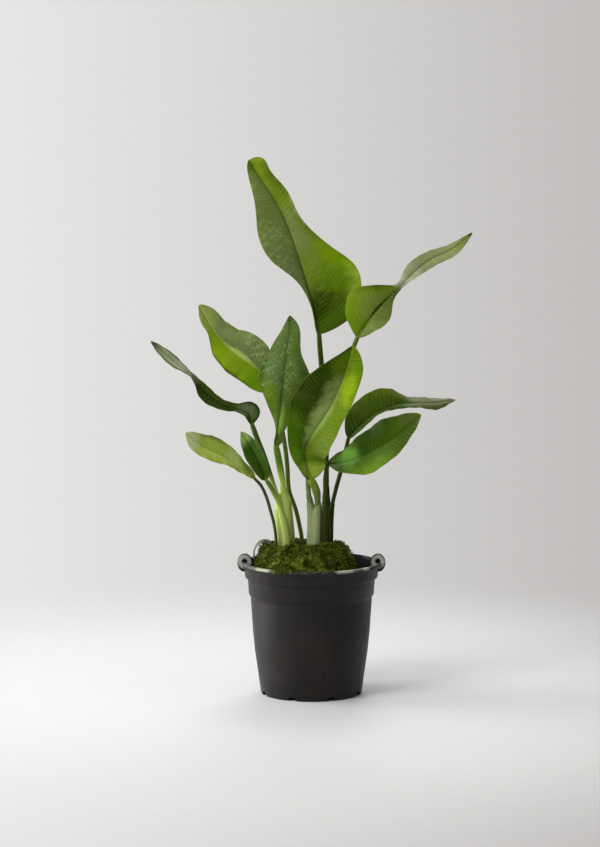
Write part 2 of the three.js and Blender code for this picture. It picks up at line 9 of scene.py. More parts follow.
import bmesh
import bpy
import numpy as np
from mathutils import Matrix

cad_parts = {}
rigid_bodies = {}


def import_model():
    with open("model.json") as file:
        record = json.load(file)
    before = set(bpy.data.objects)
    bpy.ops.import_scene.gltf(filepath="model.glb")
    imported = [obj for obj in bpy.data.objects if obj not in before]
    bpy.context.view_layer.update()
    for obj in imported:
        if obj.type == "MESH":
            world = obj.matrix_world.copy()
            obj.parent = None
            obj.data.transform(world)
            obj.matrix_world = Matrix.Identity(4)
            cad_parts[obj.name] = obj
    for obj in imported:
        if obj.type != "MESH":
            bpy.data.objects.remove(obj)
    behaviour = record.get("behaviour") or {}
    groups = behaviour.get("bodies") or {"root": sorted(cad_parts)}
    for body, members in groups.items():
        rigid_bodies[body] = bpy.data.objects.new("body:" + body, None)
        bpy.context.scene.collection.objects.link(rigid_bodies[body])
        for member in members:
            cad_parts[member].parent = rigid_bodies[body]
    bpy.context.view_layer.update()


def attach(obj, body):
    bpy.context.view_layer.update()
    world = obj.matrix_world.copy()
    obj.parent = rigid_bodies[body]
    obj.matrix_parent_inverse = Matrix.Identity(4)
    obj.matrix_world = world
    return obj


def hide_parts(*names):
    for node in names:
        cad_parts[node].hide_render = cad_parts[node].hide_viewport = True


MM = 0.001
TURN = 2 * math.pi

# The photograph's camera
IMAGE_HEIGHT = 847
FOCAL_PIXELS = 2855
CAMERA_DISTANCE = 4900
CAMERA_HEIGHT = 997
CAMERA_SHIFT = -19.7
CAMERA_PITCH = 6.13
SENSOR = 36

# Pot
POT_HEIGHT = 230
POT_BASE_RADIUS = 88
POT_RIM_RADIUS = 119
POT_COLLAR_RADIUS = 115.2
POT_WALL = 2.6
POT_FLOOR = 3.6
POT_SIDES = 192
DRAIN_COUNT = 8
DRAIN_RADIUS = 8
DRAIN_LENGTH = 20
EAR_WIDTH = 26
EAR_HEIGHT = 31
EAR_DEPTH = 14
EAR_HOLE_RADIUS = 3.8
EAR_HOLE_RISE = 3
EAR_WEB = 2
EAR_ROUNDING = 2.6
EAR_CENTRE = (115.5, 228)
POT_OUTSIDE = [
    (0, 0), (60, 0), (POT_BASE_RADIUS - 3, 0), (POT_BASE_RADIUS - 1, 0.7), (POT_BASE_RADIUS, 3),
    (93, 39), (98, 74), (101.5, 109), (105, 163), (105.3, 170.4), (105.9, 172), (107.7, 173),
    (108.6, 174.6), (110.2, 199.6), (111, 201.6), (114.2, 203.6), (POT_COLLAR_RADIUS, 205.4),
    (POT_COLLAR_RADIUS + 0.8, POT_HEIGHT - 9.4), (POT_COLLAR_RADIUS + 1.6, POT_HEIGHT - 7.8),
    (POT_RIM_RADIUS, POT_HEIGHT - 7), (POT_RIM_RADIUS + 0.8, POT_HEIGHT - 5.6),
    (POT_RIM_RADIUS + 1, POT_HEIGHT - 3.5), (POT_RIM_RADIUS + 0.5, POT_HEIGHT - 1.8),
    (POT_RIM_RADIUS - 0.8, POT_HEIGHT - 0.5), (POT_RIM_RADIUS - 2.5, POT_HEIGHT),
]
POT_INSIDE = [
    (POT_RIM_RADIUS - 4.6, POT_HEIGHT), (POT_RIM_RADIUS - 5.6, POT_HEIGHT - 0.8),
    (POT_RIM_RADIUS - 6, POT_HEIGHT - 2.4), (POT_COLLAR_RADIUS + 0.8 - POT_WALL, POT_HEIGHT - 9),
    (POT_COLLAR_RADIUS - POT_WALL, 206), (110.2 - POT_WALL, 202), (105 - POT_WALL, 163),
    (101.5 - POT_WALL, 109), (98 - POT_WALL, 74), (93 - POT_WALL, 39),
    (POT_BASE_RADIUS - POT_WALL, POT_FLOOR + 4), (POT_BASE_RADIUS - POT_WALL - 4, POT_FLOOR), (0, POT_FLOOR),
]

# Painted highlights on the pot's rim, pale spots where the rim catches light: the angle of each round the pot
# and its half length, in radians
RIM_HIGHLIGHTS = [(-2.36, 0.2), (-1.06, 0.2), (-0.66, 0.1), (2.1, 0.2)]

# Soil and moss
SOIL_TOP = 212
SOIL_GRIP = 54
SOIL_RINGS = 70
SOIL_SIDES = 220
CRUMB_COUNT = 520
CRUMB_REACH = (0.62, 0.965)
CRUMB_SIZE = (0.9, 2.6)
MOSS_RISE = 44
MOSS_EDGE = 5
MOSS_LEAST = 2.5
MOSS_CENTRE = np.array([-11.0, -6.0])
MOSS_REACH = np.array([86.0, 99.0])
MOSS_LIMIT = 109.5
MOUND_SIDES = 180
MOUND_RINGS = 56
ROOT_COUNT = 6000
SPILL_COUNT = 400
SPILL_X = (-66, 36)
SPILL_Y = (-112, -103)
FOOT = SOIL_TOP - SOIL_GRIP

# Two lumps of the moss: how high each is, its place in x and y, and how far it reaches in each
MOSS_LUMPS = [(14, -80, 2, 13, 26), (8, 50, 0, 16, 24)]

# The moss's sprigs: how many, their least and greatest length and shade, and the leaflets on each
SPRIGS = {
    "moss_sprigs_dark": (2100, (5, 10), (0.1, 0.65), 9),
    "moss_sprigs_light": (1500, (5, 11), (0.5, 1.0), 9),
    "moss_fibres": (420, (6, 12), (0.2, 1.0), 2),
    "moss_sprigs_rim": (260, (4, 9), (0.3, 1.0), 8),
}
SPRIG_STEPS = 4
SPRIG_WIDTH = 0.42
LEAFLET_LENGTH = (1.8, 3.6)
LEAFLET_SLIMNESS = 0.2

# A strip of an old leaf in the moss
CURL_ROUTE = [
    (-99, -8, 236), (-98, -12, 252), (-91, -16, 265), (-80, -18, 269), (-70, -16, 262),
    (-66, -13, 252),
]
CURL_FACING = np.array([-0.3, -0.3, 1.0])
CURL_ROWS = 40
CURL_COLUMNS = 9
CURL_HALF_WIDTH = 5.0
CURL_BEND = 1.6
CURL_THICKNESS = 0.7

# Leaves and stalks
RIB_TIP_RADIUS = 0.9
ARCH = 24
SOCKET_DEPTH = 38
ROW_SPACING = 1.7
RIB_COLUMNS = 5
HALF_COLUMNS = 17
THICK_AT_RIB = 1.0
THICK_AT_EDGE = 0.5
LEAST_HALF_WIDTH = 1.6
VEIN_SPACING = 7.5
VEIN_LEAN = 0.32
VEIN_CURVE = 0.0042
VEIN_RELIEF = 0.1
VEIN_START = 9
EDGE_WAVE = 0.45
EDGE_WAVE_LENGTH = 21
FLECK_ROWS = 12
FLECK_COLUMNS = 11
STREAKS_ACROSS = 700
STREAKS_ALONG = 14
LEAF_GLINT = (0.7, 0.88, 0.12)
PETIOLE_SIDES = 20
PETIOLE_SPACING = 4
PETIOLE_GROOVE = 0.2
PETIOLE_POINTS = 600
PLAIN_BROAD = 1.12
SHEATH_SIDES = 48
SHEATH_RINGS = 46
SHEATH_POINTS = 900
SHEATH_SLANT = 24
SHEATH_NARROWING = 0.86
SHEATH_LINES = 9
SHEATH_LINE_RELIEF = 0.012
SHEATH_FIRST_TURN = -1.2
SHEATH_NEXT_TURN = -1.9
SHEATH_CLEARANCE = 0.9
SHEATH_LAP = 0.7
STALK_CHANGE = (285, 362)

# The end of a petiole inside the rib: shares of the blade's length and of the rib's radius there
PETIOLE_END = np.array([(0.012, 0.86), (0.03, 0.8), (0.05, 0.7), (0.075, 0.5)])

# How sharp an edge has to be, in degrees, before it is shaded as one
CREASE = 50
POT_CREASE = 32

# The wall's brightness from the far left to the far right: how far aside, and its linear colour
WALL_STOPS = [
    (-1.0, (0.74, 0.74, 0.74)),
    (-0.8, (0.88, 0.88, 0.88)),
    (-0.3, (0.88, 0.88, 0.88)),
    (-0.1, (0.79, 0.79, 0.78)),
    (0.1, (0.54, 0.52, 0.51)),
    (0.3, (0.36, 0.36, 0.36)),
    (1.0, (0.36, 0.36, 0.36)),
]

# The lights: where each stands and what it is turned to, in metres, its width, power and tint
LIGHTS = {
    "key": ((-2.1, -2.0, 2.6), (0, 0, 0.45), 1.7, 84, (1.0, 0.99, 0.96)),
    "window": ((-2.8, 0.5, 0.8), (0, 0, 0.3), 2.3, 100, (0.98, 1.0, 1.0)),
    "back": ((0.3, 1.9, 2.4), (0, 0, 0.5), 1.4, 30, (1.0, 1.0, 1.0)),
}

# The floor is round and fades away between these distances
FLOOR_RADIUS = 1700
FLOOR_SIDES = 96
FLOOR_FADE = (300, 1300)

# The leaves. A station of a blade is its place on the rib, the way its upper side faces, the widths of
# its left and right halves and how far each of them lifts, in degrees. A wave is its height, how many
# there are and where it starts, and broad is how much broader the petiole is in its upper part.
LEAVES = {
    "leaf_top": dict(
        stalk="stalk_right", petiole=4.6, sheath_top=366, sheath=[9.5, 9.5, 8.5, 6], base=0.06, tip=0.1,
        wave=(3, 3, 0.5),
        stem=[
            (25, 17, FOOT), (25, 17, 257), (26, 18, 335), (26, 22, 405), (24, 22, 492), (18, 16, 562),
            (15, 10, 597), (13, 6, 624),
        ],
        stations=[
            (13, 6, 624, 0.2, -1, 0, 9, 42, 45, 12), (3, 5, 671, 0.2, -1, 0, 5, 84, 40, 12),
            (-9, 7, 715, 0.2, -1, 0, 17, 90, 30, 10), (-25, 12, 765, 0.15, -1, 0, 53, 54, 20, 10),
            (-42, 18, 812, 0.1, -1, 0, 56, 28, 15, 15), (-64, 26, 855, 0, -1, 0.1, 38, 29, 15, 20),
            (-89, 34, 892, 0, -1, 0.1, 20, 24, 15, 20), (-108, 42, 923, 0, -1, 0.1, 9, 31, 20, 20),
        ],
    ),
    "leaf_up_right": dict(
        stalk="stalk_mid", petiole=4.2, sheath_top=350, sheath=[12.5, 12.5, 10, 5.8], base=0.1, tip=0.2,
        wave=(2, 3, 1),
        stem=[
            (4, 10, FOOT), (4, 9, 259), (2, 6, 310), (-6, 1, 366), (0, -6, 433), (25, -16, 502),
            (58, -30, 572), (78, -40, 622),
        ],
        stations=[
            (78, -40, 622, -0.4, -1, 0.3, 14, 8, 15, 20), (92, -47, 645, -0.4, -1, 0.3, 45, 25, 12, 25),
            (110, -51, 669, -0.3, -1, 0.4, 57, 41, 10, 25), (131, -45, 691, 0, -1, 0.6, 31, 13, 12, 25),
            (151, -31, 709, 0.4, -0.9, 1, 8, 4.5, 10, 10), (176, -10, 733, 0.6, -0.9, 1, 17, 12, 10, 10),
            (207, 14, 754, 0.6, -0.9, 1, 15, 15, 10, 10), (243, 35, 770, 0.6, -0.9, 1, 11, 15, 10, 10),
            (278, 50, 797, 0.6, -0.9, 1, 6, 9, 10, 10),
        ],
    ),
    "leaf_high_left": dict(
        petiole=3.9, base=0.1, tip=0.14, wave=(2, 3, 0.2),
        stem=[
            (-14, 24, FOOT), (-16, 25, 255), (-21, 28, 290), (-28, 30, 319), (-39, 32, 351),
            (-42, 33, 392), (-46, 33, 428), (-53, 33, 466), (-63, 33, 498), (-75, 32, 522),
        ],
        stations=[
            (-75, 32, 522, -0.2, -1, 0.5, 22, 14, 20, 20), (-86, 33, 552, -0.2, -1, 0.5, 36, 28, 20, 20),
            (-103, 35, 574, -0.2, -1, 0.5, 43, 40, 15, 20),
            (-124, 39, 591, -0.2, -1, 0.5, 46, 40, 15, 20),
            (-147, 46, 605, -0.1, -1, 0.6, 36, 32, 15, 20),
            (-168, 55, 625, 0.1, -1, 0.7, 16, 28, 15, 10), (-182, 63, 647, 0.3, -1, 0.7, 14, 24, 10, 10),
            (-196, 72, 671, 0.4, -1, 0.7, 6, 17, 10, 10),
        ],
    ),
    "leaf_patterned": dict(
        stalk="stalk_left", petiole=4.8, sheath_top=364, sheath=[15.5, 15.5, 14, 7.8], broad=1.4,
        base=0.1, tip=0.14, wave=(3, 3, 1),
        stem=[
            (-42, 3, FOOT), (-43, 2, 259), (-46, 0, 311), (-48, 0, 355), (-54, -1, 393), (-61, -5, 432),
        ],
        stations=[
            (-61, -5, 432, 0.3, -1, 0.2, 10, 12, 30, 30), (-58, -12, 464, 0.3, -1, 0.2, 5, 14, 30, 30),
            (-52, -20, 510, 0.2, -1, 0.3, 29, 34, 20, 30), (-47, -28, 556, 0.1, -1, 0.3, 47, 48, 20, 20),
            (-42, -34, 601, 0, -1, 0.2, 30, 27, 20, 20), (-37, -36, 635, 0, -1, 0.1, 15, 19, 20, 20),
            (-37, -36, 660, 0, -1, 0, 5, 8, 20, 20),
        ],
    ),
    "leaf_front": dict(
        stalk="stalk_mid", petiole=5.2, sheath_top=334, sheath=[10, 10, 9, 6.8], broad=1.5, base=0.08,
        tip=0.14, wave=(2, 3, 0),
        stem=[
            (8, -6, FOOT), (8, -5, 259), (10, -4, 312), (10.5, -7, 342), (6.5, -12, 360), (-1, -18, 376),
        ],
        stations=[
            (-1, -18, 376, 0.1, -1, 0.4, 11, 24, 30, 30), (-9, -28, 404, 0.1, -1, 0.4, 19, 35, 30, 30),
            (-10, -40, 429, 0.1, -1, 0.4, 31, 38, 28, 30), (1, -54, 457, 0.1, -1, 0.4, 47, 48, 25, 30),
            (18, -66, 484, 0.1, -1, 0.4, 64, 44, 20, 30), (35, -80, 513, 0.1, -1, 0.4, 68, 37, 20, 30),
            (48, -92, 544, 0.1, -1, 0.3, 65, 35, 20, 30), (60, -103, 578, 0.1, -1, 0.2, 42, 32, 20, 30),
            (69, -110, 614, 0.1, -1, 0.1, 11, 22, 20, 20),
        ],
    ),
    "leaf_out_right": dict(
        stalk="stalk_right", petiole=3.7, sheath_top=330, sheath=[8.4, 8.4, 7.4, 5], base=0.1, tip=0.25,
        wave=(1.5, 3, 0),
        stem=[
            (30, 1.5, FOOT), (30, 1.5, 259), (33, 2, 311), (42, 6, 354), (54, 14, 397), (64, 20, 442),
        ],
        stations=[
            (64, 20, 442, -0.6, -1, 0.6, 16, 8, 20, 20), (88, 20, 468, -0.6, -1, 0.8, 35, 13, 20, 20),
            (114, 25, 488, -0.2, -0.8, 1, 40, 13, 20, 20), (145, 35, 499, 0.1, -0.5, 1, 34, 11, 30, 0),
            (181, 50, 501, 0.2, -0.1, 1, 26, 16, 10, -20), (216, 70, 499, 0.2, -0.1, 1, 24, 18, 10, -20),
            (253, 90, 503, 0.2, -0.1, 1, 14, 7, 10, -20),
        ],
    ),
    "leaf_low_right": dict(
        stalk="stalk_right", petiole=3.8, sheath_top=338, sheath=[8.6, 8.6, 7.6, 5.2], base=0.1,
        tip=0.12, wave=(2, 3, 2),
        stem=[
            (25, -13, FOOT), (25, -13, 261), (25, -14, 313), (24, -16, 352), (24, -18, 378),
            (28, -22, 403),
        ],
        stations=[
            (28, -22, 403, -0.3, -1, 0.8, 11, 7, 15, 15), (64, -34, 410, -0.3, -1, 0.9, 26, 34, 15, 15),
            (98, -45, 425, -0.3, -1, 0.9, 41, 54, 10, 15),
            (131, -56, 445, -0.3, -1, 0.9, 44, 49, 10, 15),
            (161, -64, 468, -0.3, -1, 0.9, 32, 26, 10, 15),
            (186, -68, 493, -0.3, -1, 0.9, 12, 6, 10, 10),
        ],
    ),
    "leaf_far_left": dict(
        stalk="stalk_left", petiole=4.2, sheath_top=350, sheath=[12, 12, 11, 6.6], broad=1.25, base=0.14,
        tip=0.2, wave=(1.5, 3, 0),
        stem=[
            (-51, -6, FOOT), (-51, -6, 259), (-54, -7, 321), (-67, -8, 370), (-82, -8, 415),
            (-94, -8, 446), (-102, -10, 469),
        ],
        stations=[
            (-102, -10, 469, 0.3, -1, 0.3, 7, 8, 20, 20), (-109, -14, 489, 0.3, -1, 0.3, 10, 22, 20, 20),
            (-130, -20, 498, 0.2, -1, 0.5, 6, 10, 20, 20),
            (-153, -28, 506, 0.2, -1, 0.8, 16, 10, 20, 20),
            (-181, -38, 527, 0.2, -1, 0.9, 23, 12, 20, 20), (-204, -50, 558, 0.3, -0.8, 1, 9, 5, 10, 10),
            (-237, -62, 586, 0.4, -0.9, 1, 17, 13, 10, 10),
            (-272, -76, 619, 0.5, -0.9, 1, 20, 8, 10, 10),
        ],
    ),
    "leaf_low_left": dict(
        petiole=2.8, base=0.1, tip=0.12, wave=(1.5, 3, 0),
        stem=[
            (-61, -24, FOOT), (-61, -24, 262), (-64, -24, 296), (-70, -23, 320), (-77, -21, 344),
            (-86, -20, 364), (-97, -22, 377),
        ],
        stations=[
            (-97, -22, 377, 0.3, -0.8, 1, 6, 10, 10, 10), (-123, -32, 399, 0.3, -0.8, 1, 14, 18, 10, 10),
            (-153, -46, 420, 0.3, -0.8, 1, 24, 32, 10, 10),
            (-185, -60, 437, 0.3, -0.8, 1, 32, 27, 10, 10),
            (-215, -74, 462, 0.3, -0.8, 1, 26, 8, 10, 10),
        ],
    ),
    "leaf_small": dict(
        stalk="stalk_left", petiole=3.2, sheath_top=324, sheath=[9, 9, 7.4, 4.6], broad=1.4, base=0.1,
        tip=0.15, wave=(1, 3, 0),
        stem=[
            (-42, -12, FOOT), (-43, -12, 259), (-48, -14, 300), (-57, -19, 335), (-68, -29, 360),
            (-78, -40, 378),
        ],
        stations=[
            (-78, -40, 378, 0.3, -1, 0.2, 8, 8, 20, 20), (-88, -48, 404, 0.3, -1, 0.2, 18, 13, 20, 20),
            (-102, -55, 433, 0.3, -1, 0.2, 21, 14, 20, 20), (-120, -62, 463, 0.3, -1, 0.2, 6, 6, 10, 10),
        ],
    ),
}

# The colours of each leaf's upper side and petiole: the blade's two halves, then soft patches over them.
# Much of this is painted light and shade: one half is often lit and the other shaded, several pale grey
# patches are painted reflections of the sky, pale lines by some ribs are painted highlights and some dark
# patches are painted shade in folds and at the bases; the rest is the leaves' own tone.
# A patch is its colour, where it lies across (-1 to 1) and along (0 to 1) the blade, its half width and
# half length in the same shares, and its strength. fleck is a pale mottling, placed in the same way.
LEAF_LOOKS = {
    "leaf_top": dict(
        # Painted: the grey 6c7a42, 76825a and 6c7a4c are reflections of the sky, 1c3200 is shade in the
        # folded base, and the bright 92b22c is light shining through.
        left="5f7038", right="5c7418", stem="34480c", rib=("3a4d18", 0.6),
        fleck=(-0.5, 0.42, 0.75, 0.26, 0.32),
        patches=[
            ("607404", 0.2, 0.92, 0.6, 0.07, 0.9), ("43540f", -0.4, 0.97, 0.7, 0.05, 0.7),
            ("475c08", 0.85, 0.8, 0.6, 0.14, 0.95), ("6c7a42", 0.32, 0.53, 0.42, 0.16, 0.9),
            ("76825a", 1, 0.63, 0.2, 0.09, 0.8), ("658600", 0.82, 0.36, 0.35, 0.1, 0.9),
            ("507400", 0.5, 0.25, 0.35, 0.1, 0.8), ("92b22c", 0.98, 0.22, 0.25, 0.1, 0.95),
            ("1c3200", 0.12, 0.12, 0.55, 0.16, 1), ("40600a", 0.6, 0.05, 0.6, 0.08, 0.9),
            ("6c7a4c", -0.6, 0.34, 0.4, 0.12, 0.6),
        ],
    ),
    "leaf_up_right": dict(
        # 161f02 is a painted shadow in the fold along the rib.
        left="5a720e", right="44521c", stem="40580e", rib=("445614", 0.5),
        patches=[
            ("59692a", -0.25, 0.3, 0.4, 0.16, 0.8), ("567206", -0.9, 0.14, 0.4, 0.14, 0.9),
            ("3c500c", -0.98, 0.4, 0.45, 0.14, 0.8), ("161f02", 0, 0.28, 0.07, 0.12, 1),
            ("4c5f14", 0.5, 0.12, 0.6, 0.1, 0.7), ("b0b39a", 0, 0.6, 2.4, 0.12, 1),
            ("949c68", 0, 0.8, 2.4, 0.26, 1), ("6f8424", 0.4, 0.93, 0.8, 0.05, 0.6),
            ("333a12", 0, 1, 1.5, 0.035, 0.9),
        ],
    ),
    "leaf_high_left": dict(
        # The pale rib a8ba60 and the pale strip bccb7a beside it are a painted highlight along the rib.
        left="749210", right="5a6840", stem="46581c", rib=("a8ba60", 0.5),
        fleck=(0.5, 0.35, 0.6, 0.2, 0.35),
        patches=[
            ("66940a", -0.45, 0.14, 0.6, 0.12, 0.8), ("83914a", 0, 0.9, 1.8, 0.17, 0.9),
            ("bccb7a", -0.06, 0.42, 0.13, 0.24, 0.7), ("33480c", -1, 0.36, 0.14, 0.34, 0.8),
            ("4a5a22", 1, 0.62, 0.25, 0.07, 0.8), ("4a6420", -0.95, 0.68, 0.3, 0.05, 0.6),
            ("546434", 0.6, 0.25, 0.5, 0.14, 0.6),
        ],
    ),
    "leaf_patterned": dict(
        left="6c8644", right="4a6228", stem="50701c", rib=("5f7a3c", 0.4),
        fleck=(-0.35, 0.54, 0.8, 0.24, 0.75),
        patches=[
            ("33441a", 0, 0.96, 1.4, 0.09, 0.8), ("708e4a", -0.5, 0.58, 0.5, 0.18, 0.8),
            ("34540c", -1, 0.5, 0.25, 0.14, 0.9), ("2f4a1c", 0.85, 0.6, 0.35, 0.16, 0.8),
            ("82a814", -0.62, 0.37, 0.5, 0.12, 0.85), ("8cac48", -0.4, 0.22, 1.2, 0.12, 0.9),
            ("2c4308", 0.7, 0.34, 0.5, 0.18, 0.8),
        ],
    ),
    "leaf_front": dict(
        # The dark left half and bright right half are painted shade and light, 8ca258 is a painted sheen
        # beside the rib, and the pale rib 93ad3c is partly its own colour and partly painted glints.
        left="223c00", right="587408", stem="6c8222", rib=("93ad3c", 0.6),
        patches=[
            ("426a00", -0.7, 0.3, 0.5, 0.2, 0.85), ("5c8406", -0.6, 0.15, 0.6, 0.12, 0.85),
            ("587608", -0.15, 0.9, 0.7, 0.12, 0.9), ("8ca258", -0.06, 0.55, 0.36, 0.3, 1),
            ("88a610", 0.55, 0.78, 0.5, 0.14, 0.9), ("577408", 0.8, 0.93, 0.8, 0.1, 0.9),
            ("64782e", 0.75, 0.33, 0.6, 0.16, 0.8), ("98b040", 0.3, 0.07, 1.4, 0.09, 0.9),
            ("54720c", 0.2, 0.3, 0.14, 0.14, 0.6),
        ],
    ),
    "leaf_out_right": dict(
        left="36510a", right="304a08", stem="202c08", rib=("56682c", 0.4),
        patches=[
            ("233c04", -0.2, 0.1, 1.2, 0.14, 0.9), ("62761c", -0.85, 0.52, 0.5, 0.14, 0.8),
            ("4c500c", 0, 0.86, 2.5, 0.24, 1), ("4c5018", 0.8, 0.78, 0.5, 0.2, 0.5),
            ("62652c", -0.2, 0.72, 0.5, 0.1, 0.6),
        ],
    ),
    "leaf_low_right": dict(
        # 5a8434 and 98dc60 by the base are a painted sheen.
        left="2c4a00", right="3e5e06", stem="222e0a", rib=("4e6c1c", 0.35),
        patches=[
            ("5c8218", 0.85, 0.45, 0.4, 0.2, 0.6), ("5a8434", -0.3, 0.22, 0.8, 0.14, 0.6),
            ("98dc60", -0.15, 0.2, 0.8, 0.13, 0.65), ("6a8446", 0.1, 0.08, 1, 0.07, 0.8),
            ("38441a", -0.2, 0.9, 1.4, 0.12, 0.9), ("203a02", -0.8, 0.5, 0.3, 0.24, 0.8),
            ("2a4204", 0.5, 0.76, 0.9, 0.18, 1),
        ],
    ),
    "leaf_far_left": dict(
        # The dark inner blade, its halves and 16261a, is painted shade on a side turned from the light, and
        # b4bc9a over the outer part is a painted reflection of the sky.
        left="2c400c", right="364c14", stem="3a4c1c", rib=("34441a", 0.5),
        patches=[
            ("56694a", 0, 0.18, 1.4, 0.14, 0.95), ("16261a", 1, 0.14, 0.35, 0.16, 0.9),
            ("b4bc9a", 0, 0.85, 2.6, 0.17, 1), ("7c9048", 0.4, 0.87, 0.8, 0.04, 0.4),
            ("45542c", 1, 0.85, 0.4, 0.16, 0.7), ("43502c", -1, 0.85, 0.35, 0.16, 0.7),
            ("3c4a28", 0, 0.99, 2, 0.04, 0.8), ("848f58", 0, 0.94, 1.2, 0.03, 0.6),
            ("45581c", 0.4, 0.62, 0.4, 0.08, 0.5),
        ],
    ),
    "leaf_low_left": dict(
        left="a8bc48", right="9eb248", stem="2c3214", rib=("8c9a50", 0.4),
        patches=[
            ("c4ce98", 0, 0.93, 1.8, 0.12, 0.9), ("50641c", 0.95, 0.66, 0.35, 0.26, 0.7),
            ("495e1e", 0.7, 0.16, 0.8, 0.13, 0.7), ("c0d680", 0.1, 0.32, 0.8, 0.14, 0.8),
        ],
    ),
    "leaf_small": dict(
        # The dark halves toward the base are painted shade; 94b064 marks the lit tip.
        left="365a12", right="3a6018", stem="5c782a", rib=("3c5420", 0.5),
        patches=[
            ("94b064", -0.1, 0.92, 1.6, 0.16, 1), ("5d7640", 0.95, 0.62, 0.4, 0.36, 0.8),
            ("385210", 0.1, 0.25, 1, 0.16, 0.7), ("3c5a1c", -1, 0.6, 0.25, 0.3, 0.5),
        ],
    ),
}
STALK_LOOKS = {
    "stalk_left": dict(slot="stalk_light", low="94a356", high="a4b856", dry="8a7a4a", pale=0.4),
    "stalk_mid": dict(slot="stalk_grey", low="828c66", high="5a6c3c", dry="7d7352", pale=0.4),
    # stalk_right's near-black greens are painted shade: its sheaths stand in shadow. The petioles of the
    # leaves on it start from the same colour.
    "stalk_right": dict(slot="stalk_dark", low="121a02", high="1c2a04", dry="262410", pale=0.08),
}

for old in list(bpy.data.objects):
    bpy.data.objects.remove(old)
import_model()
chance = np.random.default_rng(11)


# Shapes

def unit(vectors):
    return vectors / np.linalg.norm(vectors, axis=-1, keepdims=True)


def around(count):
    """Even angles round a full turn."""
    return np.linspace(0, TURN, count, endpoint=False)


def circle(angles):
    """Points of a circle of radius 1 at the given angles."""
    return np.stack([np.cos(angles), np.sin(angles)], -1)


def travelled(line):
    """How far along a line each of its points lies."""
    return np.concatenate([[0], np.cumsum(np.linalg.norm(np.diff(line, axis=0), axis=1))])


def spline(points, shares):
    """Points of a smooth curve through the given ones, at shares of their count."""
    points = np.array(points, float)
    last = len(points) - 1
    padded = np.vstack([2 * points[0] - points[1], points, 2 * points[-1] - points[-2]])
    place = np.clip(np.asarray(shares, float) * last, 0, last)
    index = np.minimum(place.astype(int), last - 1)
    t = (place - index)[:, None]
    a, b, c, d = (padded[index + k] for k in range(4))
    bend = (2 * a - 5 * b + 4 * c - d) * t**2 + (3 * b - a - 3 * c + d) * t**3
    return 0.5 * (2 * b + (c - a) * t + bend)


def smooth(value, low, high):
    t = np.clip((value - low) / (high - low), 0, 1)
    return t * t * (3 - 2 * t)


def grid_faces(rows, columns, closed=False):
    """Quads between the rows of a grid, whose last column meets the first one where it is closed."""
    i = np.arange(rows - 1)[:, None] * columns
    j = np.arange(columns if closed else columns - 1)[None, :]
    following = (j + 1) % columns
    corners = [i + j, i + following, i + columns + following, i + columns + j]
    return np.stack(corners, -1).reshape(-1, 4)


def tube_faces(rows, columns):
    """The wall of a tube of rings, and a face over each of its ends."""
    ends = [list(range(columns))[::-1], [(rows - 1) * columns + k for k in range(columns)]]
    return grid_faces(rows, columns, closed=True).tolist() + ends


def joined(parts):
    """Pairs of points and faces as one pair."""
    faces = []
    start = 0
    for points, their_faces in parts:
        faces += [[corner + start for corner in face] for face in their_faces]
        start += len(points)
    return np.concatenate([points for points, _ in parts]), faces


def add_object(name, data):
    made = bpy.data.objects.new(name, data)
    bpy.context.scene.collection.objects.link(made)
    return made


def make_mesh(name, points, faces):
    """A mesh from points in millimetres."""
    mesh = bpy.data.meshes.new(name)
    mesh.from_pydata((np.asarray(points) * MM).tolist(), [], [list(face) for face in faces])
    return mesh


def shade_smooth(mesh, crease):
    mesh.polygons.foreach_set("use_smooth", np.ones(len(mesh.polygons), bool))
    mesh.set_sharp_from_angle(angle=math.radians(crease))


def make_piece(name, points, faces, materials, face_materials=None, maps=None, shade=None):
    """A piece on the root body. maps and shade hold UV values and a grey for each point."""
    mesh = make_mesh(name, points, faces)
    for material in materials:
        mesh.materials.append(material)
    if face_materials is not None:
        mesh.polygons.foreach_set("material_index", np.asarray(face_materials, np.int32))
    corners = np.zeros(len(mesh.loops), np.int32)
    mesh.loops.foreach_get("vertex_index", corners)
    for key, values in (maps or {}).items():
        layer = mesh.uv_layers.new(name=key)
        layer.data.foreach_set("uv", np.asarray(values, float)[corners].ravel())
    if shade is not None:
        layer = mesh.color_attributes.new("shade", "FLOAT_COLOR", "POINT")
        colours = np.repeat(np.asarray(shade, float)[:, None], 4, axis=1)
        colours[:, 3] = 1
        layer.data.foreach_set("color", colours.ravel())
    mesh.update()
    mesh.validate()
    shade_smooth(mesh, CREASE)
    piece = add_object(name, mesh)
    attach(piece, "root")
    return piece


# Materials

def colour(code):
    """A linear colour from its six hexadecimal digits."""
    parts = [int(code[k:k + 2], 16) / 255 for k in (0, 2, 4)]
    return tuple(p / 12.92 if p <= 0.04045 else ((p + 0.055) / 1.055) ** 2.4 for p in parts)


class Value:
    """A node's output, which can stand in sums with numbers and other outputs."""

    def __init__(self, graph, socket):
        self.graph = graph
        self.socket = socket

    def __add__(self, other):
        return self.graph.math("ADD", self, other)

    def __sub__(self, other):
        return self.graph.math("SUBTRACT", self, other)

    def __mul__(self, other):
        return self.graph.math("MULTIPLY", self, other)

    def __truediv__(self, other):
        return self.graph.math("DIVIDE", self, other)

    def __abs__(self):
        return self.graph.math("ABSOLUTE", self)


